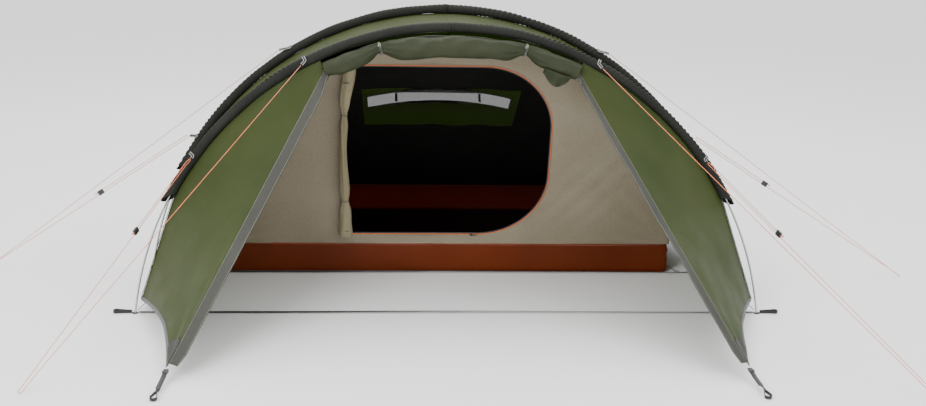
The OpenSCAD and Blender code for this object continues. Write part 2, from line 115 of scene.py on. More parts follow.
def clothSizes(points):
    # Distances along the grid, used as the cloth's own map in metres
    du = np.linalg.norm(np.diff(points, axis=0), axis=2)
    dv = np.linalg.norm(np.diff(points, axis=1), axis=2)
    u = np.concatenate([np.zeros((1, points.shape[1])), np.cumsum(du, axis=0)])
    v = np.concatenate([np.zeros((points.shape[0], 1)), np.cumsum(dv, axis=1)], axis=1)
    return np.stack([u, v], -1)


def gridArea(points, keep=None):
    side = np.cross(points[1:, :-1] - points[:-1, :-1], points[:-1, 1:] - points[:-1, :-1])
    areas = np.linalg.norm(side, axis=2)
    return float(areas.sum() if keep is None else areas[keep].sum())


def meshPiece(name, vertices, faces, uv, material, body=root, slot=None):
    mesh = bpy.data.meshes.new(name)
    mesh.from_pydata(vertices.reshape(-1, 3).tolist(), [], faces)
    layer = mesh.uv_layers.new(name="UVMap")
    loops = np.empty(len(mesh.loops), dtype=np.int32)
    mesh.loops.foreach_get("vertex_index", loops)
    layer.data.foreach_set("uv", uv.reshape(-1, 2)[loops].astype(np.float32).ravel())
    mesh.polygons.foreach_set("use_smooth", np.ones(len(mesh.polygons), dtype=bool))
    mesh.materials.append(material)
    mesh.update()
    piece = bpy.data.objects.new(name, mesh)
    bpy.context.scene.collection.objects.link(piece)
    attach(piece, body)
    return piece


def gridFaces(columns, rows, keep=None, flip=False):
    i, j = np.meshgrid(np.arange(columns - 1), np.arange(rows - 1), indexing="ij")
    a = i * rows + j
    quads = np.stack([a, a + rows, a + rows + 1, a + 1], -1)
    if flip:
        quads = quads[..., ::-1]
    return (quads if keep is None else quads[keep]).reshape(-1, 4)


def gridPiece(name, points, material, thickness=0.0, keep=None, inside=None, uv=None, **more):
    # The faces are turned away from the point inside, and the thickness grows inwards
    uv = clothSizes(points) if uv is None else uv
    flip = inside is not None and float(np.sum(gridNormals(points) * (points - np.asarray(inside)))) < 0
    faces = gridFaces(*points.shape[:2], keep, flip).tolist()
    piece = meshPiece(name, points, faces, uv, material, **more)
    if thickness:
        wall = piece.modifiers.new("thickness", "SOLIDIFY")
        wall.thickness = thickness
        wall.offset = -1
    return piece


def pathFrames(path, up):
    # At each point a side square to the path and to up, and the direction square to that side and the path
    along = unit(np.gradient(path, axis=0))
    side = unit(np.cross(along, np.broadcast_to(up, along.shape)))
    return side, np.cross(side, along)


def sweptPoints(path, across, over, up=(0.05, 0.1, 1), twist=0.0):
    # A closed profile carried along a path; across and over are its two coordinates
    side, top = pathFrames(path, up)
    turn = np.broadcast_to(twist, len(path))[:, None]
    x = np.broadcast_to(across, (len(path), across.shape[-1]))
    y = np.broadcast_to(over, (len(path), over.shape[-1]))
    a, b = x * np.cos(turn) - y * np.sin(turn), x * np.sin(turn) + y * np.cos(turn)
    return path[:, None] + a[..., None] * side[:, None] + b[..., None] * top[:, None]


def closedPiece(name, points, material, **more):
    # A tube of closed rings with both ends filled; points has its first ring point repeated at the end
    columns, rows = points.shape[:2]
    vertices = np.concatenate([points.reshape(-1, 3), points[[0, -1]].mean(axis=1)])
    j = np.arange(rows - 1)
    first = np.full(rows - 1, columns * rows)
    caps = np.concatenate([np.stack([first, j, j + 1], -1),
                           np.stack([first + 1, (columns - 1) * rows + j + 1, (columns - 1) * rows + j], -1)])
    sizes = clothSizes(points)
    uv = np.concatenate([sizes.reshape(-1, 2), sizes[[0, -1], 0]])
    faces = gridFaces(columns, rows).tolist() + caps.tolist()
    piece = meshPiece(name, vertices, faces, uv, material, **more)
    weldRings(piece.data)
    return piece


def weldRings(mesh, turn=True):
    # Joins points that lie together, such as a ring's first and last, and turns the faces outwards if asked
    work = bmesh.new()
    work.from_mesh(mesh)
    bmesh.ops.remove_doubles(work, verts=work.verts, dist=1e-6)
    if turn:
        bmesh.ops.recalc_face_normals(work, faces=work.faces)
    work.to_mesh(mesh)
    work.free()


def tube(name, path, radius, material, sides=8, **more):
    a = np.linspace(0, 2 * np.pi, sides + 1)
    r = np.broadcast_to(radius, len(path))[:, None]
    return closedPiece(name, sweptPoints(path, r * np.cos(a), r * np.sin(a)), material, **more)


def ribbon(name, path, width, thickness, material, up=(0, 0, 1), twist=0.0, **more):
    # Flat webbing: a thin rounded rectangle carried along its path
    half, t = width / 2, thickness / 2
    across = np.array([-half, -half * 0.96, half * 0.96, half, half * 0.96, -half * 0.96, -half])
    over = np.array([0, -t, -t, 0, t, t, 0])
    return closedPiece(name, sweptPoints(path, across, over, up, twist), material, **more)


def block(name, place, sizes, axes, material, power=4.0, **more):
    # A rounded block: a sphere whose sines and cosines are raised so that it fills its box
    u, v = grid(25, 13, (-np.pi, np.pi), (-np.pi / 2, np.pi / 2))
    lift = lambda s: np.sign(s) * np.abs(s) ** (2 / power)
    girth = lift(np.cos(v))
    local = np.stack([lift(np.cos(u)) * girth, lift(np.sin(u)) * girth, lift(np.sin(v))], -1)
    points = np.asarray(place) + (local * np.asarray(sizes) / 2) @ np.asarray(axes, float)
    piece = gridPiece(name, points, material, **more)
    weldRings(piece.data)
    return piece


def distanceAlong(path):
    # The distance run along the line, at each of its points
    return np.concatenate([[0], np.cumsum(np.linalg.norm(np.diff(path, axis=0), axis=1))])


def resample(points, count):
    # The same line with its points spread evenly
    points = np.asarray(points, float)
    far = distanceAlong(points)
    at = np.linspace(0, far[-1], count)
    return np.stack([np.interp(at, far, points[:, k]) for k in range(3)], -1)


def roundCorners(points, cut=0.004, rounds=3):
    # Each corner is cut off by up to the given length, three times over
    points = np.asarray(points, float)
    for _ in range(rounds):
        step = np.diff(points, axis=0)
        share = np.minimum(0.25, cut / np.linalg.norm(step, axis=1))[:, None]
        near, far = points[:-1] + share * step, points[1:] - share * step
        points = np.concatenate([points[:1], np.stack([near, far], 1).reshape(-1, 3)[1:-1], points[-1:]])
        cut = cut / 2
    return points


cameraSettings = dict(place=(-0.376, -6.572, 2.053), pan=3.95, tilt=14.6, roll=1.29, lens=60.6)


def makeCamera(settings):
    data = bpy.data.cameras.new("camera")
    data.lens = settings["lens"]
    data.sensor_width = 36
    data.clip_end = 60
    camera = bpy.data.objects.new("camera", data)
    turn = Matrix.Rotation(np.radians(-settings["pan"]), 4, "Z")
    tilt = Matrix.Rotation(np.radians(90 - settings["tilt"]), 4, "X")
    roll = Matrix.Rotation(np.radians(settings["roll"]), 4, "Z")
    camera.matrix_world = Matrix.Translation(settings["place"]) @ turn @ tilt @ roll
    bpy.context.scene.collection.objects.link(camera)
    bpy.context.scene.camera = camera


makeCamera(cameraSettings)

stageSettings = dict(floorColor=(0.95, 0.95, 0.95), sky=1.5, size=40)


def makeStage(settings):
    half = settings["size"] / 2
    mesh = bpy.data.meshes.new("studioFloor")
    corners = [(-half, -half, 0), (half, -half, 0), (half, half, 0), (-half, half, 0)]
    mesh.from_pydata(corners, [], [(0, 1, 2, 3)])
    floor = bpy.data.objects.new("studioFloor", mesh)
    floor.location.z = -0.001
    paint = bpy.data.materials.new("paleFloor")
    paint.use_nodes = True
    shader = paint.node_tree.nodes["Principled BSDF"]
    shader.inputs["Base Color"].default_value = (*settings["floorColor"], 1)
    shader.inputs["Roughness"].default_value = 0.9
    mesh.materials.append(paint)
    bpy.context.scene.collection.objects.link(floor)
    world = bpy.data.worlds.new("studio")
    world.use_nodes = True
    world.node_tree.nodes["Background"].inputs["Color"].default_value = (1, 1, 1, 1)
    world.node_tree.nodes["Background"].inputs["Strength"].default_value = settings["sky"]
    bpy.context.scene.world = world


def makeLight(name, place, aim, power, size):
    data = bpy.data.lights.new(name, "AREA")
    data.energy, data.size = power, size
    lamp = bpy.data.objects.new(name, data)
    direction = unit(np.array(aim) - np.array(place))
    back = -direction
    side = unit(np.cross([0, 0.01, 1], back))
    turn = np.stack([side, np.cross(back, side), back], 1)
    lamp.matrix_world = Matrix([[*row, p] for row, p in zip(turn, place)] + [[0, 0, 0, 1]])
    bpy.context.scene.collection.objects.link(lamp)


makeStage(stageSettings)
makeLight("key", (-3.0, -5.0, 3.6), (0.3, 0, 0.4), 230, 2.6)
makeLight("fill", (3.6, -4.4, 3.4), (0, -0.6, 0.3), 70, 3.0)
makeLight("top", (0, 1.6, 4.4), (0, 0.3, 0.5), 150, 3.2)
print("camera and stage made")


class clothDesk:
    # A short way to build a material's nodes
    def __init__(self, name):
        self.material = bpy.data.materials.new(name)
        self.material.use_nodes = True
        self.tree = self.material.node_tree
        self.shader = self.tree.nodes["Principled BSDF"]
        self.output = self.tree.nodes["Material Output"]
        self.coords = self.tree.nodes.new("ShaderNodeTexCoord")

    def add(self, kind, **inputs):
        node = self.tree.nodes.new("ShaderNode" + kind)
        for key, value in inputs.items():
            if hasattr(node, key):
                setattr(node, key, value)
        return node

    def link(self, source, target):
        self.tree.links.new(source, target)

    def math(self, operation, a, b):
        node = self.add("Math", operation=operation)
        for socket, value in zip(node.inputs, (a, b)):
            if isinstance(value, (int, float)):
                socket.default_value = value
            else:
                self.link(value, socket)
        return node.outputs[0]

    def noise(self, scale, detail=4, space="Object", rough=0.55):
        node = self.add("TexNoise")
        node.inputs["Scale"].default_value = scale
        node.inputs["Detail"].default_value = detail
        node.inputs["Roughness"].default_value = rough
        self.link(self.coords.outputs[space], node.inputs["Vector"])
        return node.outputs[0]

    def bands(self, direction, scale, space="UV"):
        node = self.add("TexWave", wave_type="BANDS", bands_direction=direction)
        node.inputs["Scale"].default_value = scale * 0.3142    # one band for each 1/scale
        self.link(self.coords.outputs[space], node.inputs["Vector"])
        return node.outputs["Fac"]

    def range(self, value, fromLow, fromHigh, toLow=0.0, toHigh=1.0):
        node = self.add("MapRange")
        for index, number in enumerate((fromLow, fromHigh, toLow, toHigh)):
            node.inputs[1 + index].default_value = number
        self.link(value, node.inputs[0])
        return node.outputs[0]

    def mix(self, share, a, b):
        node = self.add("Mix", data_type="RGBA")
        for socket, value in zip((node.inputs[0], node.inputs[6], node.inputs[7]), (share, a, b)):
            if isinstance(value, (int, float)):
                socket.default_value = value
            elif isinstance(value, tuple):
                socket.default_value = (*value, 1)
            else:
                self.link(value, socket)
        return node.outputs[2]

    def bump(self, height, distance, strength=1.0, before=None):
        node = self.add("Bump")
        node.inputs["Strength"].default_value = strength
        node.inputs["Distance"].default_value = distance
        self.link(height, node.inputs["Height"])
        if before:
            self.link(before, node.inputs["Normal"])
        return node.outputs[0]

    def finish(self, color, roughness, normal=None, **fixed):
        for socket, value in (("Base Color", color), ("Roughness", roughness)):
            if isinstance(value, (int, float)):
                self.shader.inputs[socket].default_value = value
            else:
                self.link(value, self.shader.inputs[socket])
        if normal:
            self.link(normal, self.shader.inputs["Normal"])
        for key, value in fixed.items():
            self.shader.inputs[key.replace("_", " ")].default_value = value
        return self.material


def clothMaterial(name, color, shade, weave=900, ripstop=0, rough=0.62, glow=0.0, crease=0.0012,
                  through=None):
    # Woven cloth: two crossed waves for the yarns, a heavier ripstop grid, soft blotches and fine creases
    n = clothDesk(name)
    blotch = n.range(n.noise(2.2, 5), 0.35, 0.68)
    tone = n.mix(blotch, color, shade)
    yarns = n.math("MULTIPLY", n.bands("X", weave), n.bands("Y", weave))
    speckle = n.range(n.noise(160, 2), 0.3, 0.7, 0.9, 1.08)
    height = yarns
    dim = speckle
    if ripstop:
        lines = n.math("MAXIMUM", n.range(n.bands("X", ripstop), 0.9, 1.0),
                       n.range(n.bands("Y", ripstop), 0.9, 1.0))
        height = n.math("ADD", yarns, lines)
        dim = n.math("SUBTRACT", speckle, n.math("MULTIPLY", lines, 0.16))
    bright = n.add("HueSaturation")
    n.link(tone, bright.inputs["Color"])
    n.link(dim, bright.inputs["Value"])
    fine = n.bump(height, 0.00025, 0.6)
    normal = n.bump(n.noise(26, 3), crease, 0.8, fine)
    rough = n.range(n.noise(9, 3), 0.3, 0.7, rough - 0.07, rough + 0.07)
    n.finish(bright.outputs[0], rough, normal, Specular_IOR_Level=0.22)
    if glow:
        back = n.add("BsdfTranslucent")
        back.inputs["Color"].default_value = (*(through or color), 1)
        mixer = n.add("MixShader")
        mixer.inputs[0].default_value = glow
        n.link(n.shader.outputs[0], mixer.inputs[1])
        n.link(back.outputs[0], mixer.inputs[2])
        n.link(mixer.outputs[0], n.output.inputs["Surface"])
    return n.material


def webbingMaterial(name, color, ribs=420):
    # Ribbed webbing: ribs across its length and a herringbone down it; the rib crests are painted lighter, a
    # painted highlight
    n = clothDesk(name)
    rib = n.bands("X", ribs)
    chain = n.bands("DIAGONAL", ribs * 0.8)
    # Painted highlight: the colour rises to nearly twice as light on each rib's crest
    tone = n.mix(n.range(rib, 0, 1, 0.0, 0.6), color, tuple(c * 1.9 for c in color))
    worn = n.mix(n.range(n.noise(60, 4), 0.55, 0.75, 0, 0.25), tone, (0.05, 0.05, 0.045))
    normal = n.bump(n.math("ADD", rib, n.math("MULTIPLY", chain, 0.5)), 0.0004, 0.8)
    return n.finish(worn, 0.8, normal, Sheen_Weight=0.2)


def braidMaterial(name, color, fleck):
    # Braided line: two crossing sets of diagonal strands along its length; the gaps between strands are
    # painted darker, a painted shade
    n = clothDesk(name)
    mapping = n.add("Mapping")
    mapping.inputs["Scale"].default_value = (1, 2.2, 1)
    n.link(n.coords.outputs["UV"], mapping.inputs["Vector"])
    waves = []
    for lean in (0.6, -0.6):
        turn = n.add("Mapping")
        turn.inputs["Rotation"].default_value = (0, 0, lean)
        n.link(mapping.outputs[0], turn.inputs["Vector"])
        band = n.add("TexWave", wave_type="BANDS")
        band.inputs["Scale"].default_value = 110
        n.link(turn.outputs[0], band.inputs["Vector"])
        waves.append(band.outputs["Fac"])
    strands = n.math("MAXIMUM", *waves)
    # Painted shade: the colour falls to under half between the strands
    tone = n.mix(n.range(strands, 0.2, 1.0), tuple(c * 0.45 for c in color), color)
    tone = n.mix(n.range(n.noise(900, 1, "UV"), 0.62, 0.66), tone, fleck)
    return n.finish(tone, 0.6, n.bump(strands, 0.0004, 0.8), Sheen_Weight=0.2)


def plasticMaterial(name, color, rough=0.42, grain=900):
    n = clothDesk(name)
    tone = n.mix(n.range(n.noise(30, 4), 0.4, 0.7, 0, 0.5), color,
                 tuple(min(1, c * 1.5 + 0.01) for c in color))
    roughness = n.range(n.noise(90, 3), 0.3, 0.7, rough - 0.08, rough + 0.1)
    return n.finish(tone, roughness, n.bump(n.noise(grain, 2), 0.0001, 0.5))


def metalMaterial(name, color, rough=0.3):
    # Anodised tube: fine drawn lines and faint handling marks
    n = clothDesk(name)
    drawn = n.noise(700, 2)
    marks = n.range(n.noise(24, 5), 0.55, 0.75, 0, 0.35)
    tone = n.mix(marks, color, tuple(c * 0.72 for c in color))
    roughness = n.range(n.noise(70, 4), 0.3, 0.7, rough - 0.06, rough + 0.12)
    return n.finish(tone, roughness, n.bump(drawn, 0.00005, 0.4), Metallic=1.0)


flyCloth = clothMaterial("flyCloth", (0.070, 0.088, 0.026), (0.046, 0.066, 0.016), 700, 160, 0.46, 0.36,
                         through=(0.16, 0.24, 0.05))
hoodCloth = clothMaterial("hoodCloth", (0.060, 0.075, 0.024), (0.042, 0.058, 0.016), 700, 160, 0.50, 0.05)
sleeveCloth = clothMaterial("sleeveCloth", (0.013, 0.014, 0.010), (0.008, 0.009, 0.007), 500, 0, 0.70, 0.0,
                            0.003)
flapCloth = clothMaterial("flapCloth", (0.062, 0.062, 0.053), (0.048, 0.048, 0.041), 700, 160, 0.6, 0.05)
innerCloth = clothMaterial("innerCloth", (0.270, 0.235, 0.170), (0.225, 0.190, 0.130), 800, 0, 0.8, 0.10,
                           0.0016)
doorCloth = clothMaterial("doorCloth", (0.270, 0.235, 0.150), (0.200, 0.170, 0.100), 800, 0, 0.8, 0.05, 0.002)
darkCloth = clothMaterial("darkCloth", (0.010, 0.0095, 0.0085), (0.007, 0.0068, 0.006), 800, 0, 0.9, 0.0)
floorCloth = clothMaterial("floorCloth", (0.165, 0.024, 0.001), (0.125, 0.018, 0.001), 700, 200, 0.5, 0.30,
                           through=(0.80, 0.16, 0.03))
blackWeb = webbingMaterial("blackWeb", (0.010, 0.010, 0.010))
stripeWeb = webbingMaterial("stripeWeb", (0.40, 0.39, 0.36), 300)
zipTape = webbingMaterial("zipTape", (0.030, 0.030, 0.031), 800)
zipCoil = plasticMaterial("zipCoil", (0.045, 0.045, 0.045), 0.35, 400)
pipingCloth = webbingMaterial("pipingCloth", (0.52, 0.12, 0.025), 900)
orangeLine = braidMaterial("orangeLine", (0.86, 0.19, 0.05), (0.9, 0.75, 0.6))
blackCord = braidMaterial("blackCord", (0.03, 0.03, 0.03), (0.10, 0.10, 0.10))
blackPlastic = plasticMaterial("blackPlastic", (0.020, 0.020, 0.021))
creamPlastic = plasticMaterial("creamPlastic", (0.62, 0.55, 0.38), 0.5)
poleMetal = metalMaterial("poleMetal", (0.50, 0.52, 0.51))
ringMetal = metalMaterial("ringMetal", (0.55, 0.55, 0.56), 0.25)
stitchThread = webbingMaterial("stitchThread", (0.20, 0.21, 0.16), 400)


def meshMaterial(name, color, hole=0.5):
    # Fine insect mesh, so fine that it reads as a dark veil: its threads cover part of each spot
    n = clothDesk(name)
    threads = n.math("MAXIMUM", n.bands("X", 900), n.bands("Y", 900))
    n.finish(n.mix(n.range(threads, 0.2, 1), color, tuple(c * 1.6 for c in color)), 0.8,
             n.bump(threads, 0.0002, 0.5))
    n.shader.inputs["Alpha"].default_value = hole
    return n.material


insectMesh = meshMaterial("insectMesh", (0.010, 0.010, 0.010), 0.82)
windowMesh = meshMaterial("windowMesh", (0.008, 0.008, 0.008), 0.25)
print("materials made")

guylines = {
    "front_left": [(-0.611, -0.354, 0.996), (-0.9, -0.672, 0.692), (-1.25, -1.056, 0.325),
                   (-1.5, -1.331, 0.062), (-1.54, -1.377, 0.016), (-1.548, -1.391, 0.008),
                   (-1.558, -1.395, 0.008), (-1.562, -1.385, 0.008), (-1.554, -1.373, 0.017),
                   (-1.391, -1.063, 0.213), (-1.229, -0.753, 0.408), (-1.066, -0.443, 0.604),
                   (-1.055, -0.427, 0.614), (-1.051, -0.422, 0.62), (-1.053, -0.425, 0.626),
                   (-1.068, -0.448, 0.614), (-1.238, -0.771, 0.41)],
    "front_right": [(0.611, -0.354, 0.996), (0.95, -0.71, 0.685), (1.35, -1.131, 0.319),
                    (1.64, -1.436, 0.054),
                    (1.679, -1.478, 0.016), (1.687, -1.492, 0.008), (1.697, -1.497, 0.008),
                    (1.702, -1.487, 0.008), (1.694, -1.475, 0.017), (1.485, -1.131, 0.213),
                    (1.275, -0.787, 0.408), (1.066, -0.443, 0.604), (1.055, -0.427, 0.614),
                    (1.051, -0.422, 0.62), (1.053, -0.425, 0.626), (1.068, -0.447, 0.614),
                    (1.28, -0.795, 0.416)],
    "rear_left": [(-0.732, 0.232, 0.962), (-1.13, 0.188, 0.663), (-1.58, 0.138, 0.325), (-1.94, 0.099, 0.054),
                  (-1.988, 0.093, 0.018), (-2, 0.086, 0.008), (-2.006, 0.094, 0.008), (-2, 0.103, 0.008),
                  (-1.986, 0.105, 0.018), (-1.704, 0.125, 0.204), (-1.422, 0.144, 0.389),
                  (-1.14, 0.164, 0.575), (-1.128, 0.166, 0.583), (-1.123, 0.166, 0.589),
                  (-1.128, 0.166, 0.596), (-1.146, 0.164, 0.584), (-1.526, 0.137, 0.334)],
    "rear_right": [(0.732, 0.226, 0.962), (1.15, 0.156, 0.66), (1.65, 0.071, 0.299), (1.99, 0.014, 0.054),
                   (2.037, 0.006, 0.02), (2.053, -0.002, 0.008), (2.059, 0.006, 0.008), (2.053, 0.015, 0.008),
                   (2.039, 0.019, 0.02), (1.739, 0.064, 0.209), (1.44, 0.109, 0.397), (1.14, 0.154, 0.586),
                   (1.128, 0.156, 0.593), (1.123, 0.156, 0.599), (1.128, 0.156, 0.606), (1.146, 0.153, 0.595),
                   (1.459, 0.106, 0.398)],
}
lineSettings = dict(diameter=0.0028, knotRadius=0.0034)


def makeKnot(name, place, radius, body):
    # A trefoil: its two windings cross each other three times
    t = np.linspace(0, 2 * np.pi, 60)
    windings = np.stack([np.sin(t) + 2 * np.sin(2 * t), np.cos(t) - 2 * np.cos(2 * t), -np.sin(3 * t)], -1)
    path = radius * 0.42 * windings
    a = np.linspace(0, 2 * np.pi, 9)
    across = 0.0012 * np.cos(a)
    points = sweptPoints(np.asarray(place) + path, across, 0.0012 * np.sin(a), up=(0.3, 0.2, 1))
    piece = gridPiece(name, points, orangeLine, body=body, slot="orange_line")
    weldRings(piece.data)
    return piece


def makeGuyline(corner, points, settings):
    path = roundCorners(points)
    line = tube("line_" + corner, path, settings["diameter"] / 2, orangeLine, 10, slot="orange_line")
    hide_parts("guyline_" + corner)
    knot = makeKnot("knot_" + corner, path[-1], settings["knotRadius"], "runner_" + corner)


for corner, points in guylines.items():
    makeGuyline(corner, points, lineSettings)
print("guylines made")


def declareSheet(points, flat=None):
    # A stretched sheet was cut to the size that it has, so its flat size is measured along its own grid
    if flat is None:
        sizes = clothSizes(points)
        flat = (float(sizes[-1, :, 0].max()), float(sizes[:, -1, 1].max()))


def addFolds(points, amount, seed, pin, low=2.0, high=9.0, stretch=(1.0, 0.25)):
    # Shallow folds along the pull of the cloth: a sum of sines, longer one way, that fades at held edges
    sizes = clothSizes(points)
    height = ripple(sizes[..., 0] * stretch[0], sizes[..., 1] * stretch[1], seed, low, high)
    return points + gridNormals(points) * (amount * height * pin)[..., None]


def edgeBinding(name, path, normals, width, material=None, slot="grey_flap_cloth", lift=0.0006, **more):
    # A folded binding sewn over a cloth's edge
    raised = resample(path + normals * lift, 120)
    ups = resample(normals + 2.0, 120) - 2.0
    return ribbon(name, raised, width, 0.0018, material or bindingCloth, up=unit(ups), slot=slot, **more)


bindingCloth = webbingMaterial("bindingCloth", (0.045, 0.048, 0.042), 500)
tentMiddle = (0, 0.3, 0.35)

# The canopy between the hoops: an arch of cloth that sags a little between its two seams
canopySettings = dict(sag=0.012, folds=0.0022, seed=11, edge=82.0)


def makeCanopy(settings):
    a, v = grid(261, 45, (-settings["edge"], settings["edge"]))
    hold = np.sin(np.pi * v) ** 0.7
    points = hoopPoint(lerp(frontFootY, rearFootY, v), a,
                       clothRadius(a) - settings["sag"] * np.sin(np.pi * v))
    points = addFolds(points, settings["folds"], settings["seed"], hold, 2.0, 8.0, (1.0, 0.3))
    points = addFolds(points, settings["folds"] * 0.5, settings["seed"] + 1, hold, 9, 18, (1.0, 0.5))
    canopy = gridPiece("canopy", points, flyCloth, 0.0006, inside=tentMiddle, slot="green_flysheet")
    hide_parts("fly_canopy")
    normals = gridNormals(points)
    hems = [edgeBinding("canopyHem" + side, points[index], normals[index], 0.014)
            for side, index in (("Left", 0), ("Right", -1))]
    declareSheet(points)


makeCanopy(canopySettings)

# A pole sleeve: a flattened tube along the hoop, gathered in slanting puckers, open at both ends
sleeveSettings = dict(wide=0.0195, deep=0.0165, pucker=0.0021, step=0.021, slant=1.9)


def makeSleeve(name, footY, seed, settings):
    a, u = grid(641, 33, (-hoopShape["sleeveEnd"], hoopShape["sleeveEnd"]), (0, 2 * np.pi))
    run = np.radians(a) * hoopShape["radius"]
    # Puckers are sines along the run, slanted round the tube, stronger in some stretches than in others
    strength = 0.35 + 0.65 * smooth(ripple(run, 0 * run, seed, 0.4, 1.6, 5), -0.5, 0.9)
    wander = 2.5 * ripple(run, u * 0.02, seed + 1, 1, 4, 6)
    phase = 2 * np.pi * run / settings["step"] + settings["slant"] * u + wander
    pucker = settings["pucker"] * strength * np.sin(phase) * (0.6 + 0.4 * np.cos(u))
    loose = 0.0012 * ripple(run, u * 0.03, seed + 2, 2, 7)
    mouth = 1 + 0.16 * smooth(np.abs(a), hoopShape["sleeveEnd"] - 3.0, hoopShape["sleeveEnd"])
    wide = (settings["wide"] + pucker + loose) * mouth
    deep = (settings["deep"] + pucker + loose) * mouth
    cut = 1.1 * np.cos(u - 2.6) * smooth(np.abs(a), hoopShape["sleeveEnd"] - 4, hoopShape["sleeveEnd"])
    a = a - np.sign(a) * (0.6 + cut)
    points = hoopPoint(footY, a, hoopShape["radius"] + wide * np.cos(u))
    points = points + (deep * np.sin(u))[..., None] * hoopNormal
    sleeve = gridPiece(name + "Sleeve", points, sleeveCloth, 0.0008, slot="dark_sleeve_cloth")
    weldRings(sleeve.data)
    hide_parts(name + "_sleeve")
    declareSheet(points)
    # The seam allowance that joins the sleeve to the cloth under it
    angles = np.linspace(-hoopShape["clothEnd"], hoopShape["clothEnd"], 300)
    seam = hoopPoint(footY, angles, clothRadius(angles) + 0.0025)
    outward = unit(hoopPoint(footY, angles, 2.0) - hoopPoint(footY, angles, 1.0))
    ribbon(name + "Seam", seam, 0.011, 0.0022, bindingCloth, up=outward, slot="dark_sleeve_cloth")


makeSleeve("front", frontFootY, 21, sleeveSettings)
makeSleeve("rear", rearFootY, 31, sleeveSettings)
print("canopy and sleeves made")

# The two wings of the porch run from the front hoop to their zips, which end at the peg corners
wingSettings = dict(top=25.0, cornerX=1.060, cornerY=-1.245, hemZ=0.050, zipTopY=-0.012, zipTopIn=0.040,
                    sag=0.020,
                    folds=0.0030, rise=2.6, flap=0.044, flapGap=0.005, tape=0.026)


def zipFrame(side):
    # The zip's top, its lower corner, its direction, the wing's outward direction and the way across the zip
    s = wingSettings
    top = hoopPoint(frontFootY + s["zipTopY"], s["top"], hoopShape["clothRadius"] - s["zipTopIn"])
    corner = np.array([s["cornerX"], s["cornerY"], s["hemZ"]])
    direction = unit(corner - top)
    out = unit(np.cross(direction, hoopPoint(frontFootY, 55, hoopShape["clothRadius"]) - top))
    across = unit(np.cross(direction, out))
    mirror = np.array([side, 1, 1])
    return top * mirror, corner * mirror, direction * mirror, out * mirror, across * mirror


def makeWing(name, side, seed, settings):
    top, corner, direction, out, across = zipFrame(side)
    u, v = grid(141, 71)
    # The hem is cut in a hollow curve, so the panel ends a little higher in the middle of the hem
    last = hoopShape["clothEnd"] - settings["rise"] * 4 * v * (1 - v) * (0.7 + 0.6 * v)
    a = lerp(settings["top"], last, u)
    hoopEdge = hoopPoint(frontFootY, a, clothRadius(a)) * np.array([side, 1, 1])
    along = (a - settings["top"]) / (hoopShape["clothEnd"] - settings["top"])
    zipEdge = top + along[..., None] * (corner - top)
    points = hoopEdge + v[..., None] * (zipEdge - hoopEdge)
    hold = np.sin(np.pi * v) * smooth(u, 0, 0.2) * (1 - 0.75 * smooth(u, 0.85, 1))
    points = points - (settings["sag"] * hold)[..., None] * out
    folds = settings["folds"] * (1 if side > 0 else 0.6)
    points = addFolds(points, folds, seed, np.sin(np.pi * v) ** 0.6, 1.5, 6, (0.5, 1.0))
    # Pulls from the peg corner: rays of small folds that die out with the distance from it
    away = np.linalg.norm(points - corner, axis=-1)
    ray = np.arctan2(np.sum((points - corner) * across, -1), -np.sum((points - corner) * direction, -1))
    fade = np.exp(-away / 0.30) * smooth(away, 0.03, 0.12) * smooth(v, 0, 0.1) * smooth(1 - v, 0, 0.08)
    pull = 0.0035 * np.sin(ray * 15 + 2 * np.sin(ray * 4)) * fade
    points = points + pull[..., None] * out
    wing = gridPiece(name + "Wing", points, flyCloth, 0.0006, inside=tentMiddle, slot="green_flysheet")
    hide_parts(name + "_wing")
    normals = gridNormals(points) * (1 if side > 0 else -1)
    normals = normals * np.sign(np.sum(normals * (points - np.array(tentMiddle)), -1).mean())
    hem = edgeBinding(name + "Hem", points[-1], normals[-1], 0.016)
    declareSheet(points)
    return points, normals


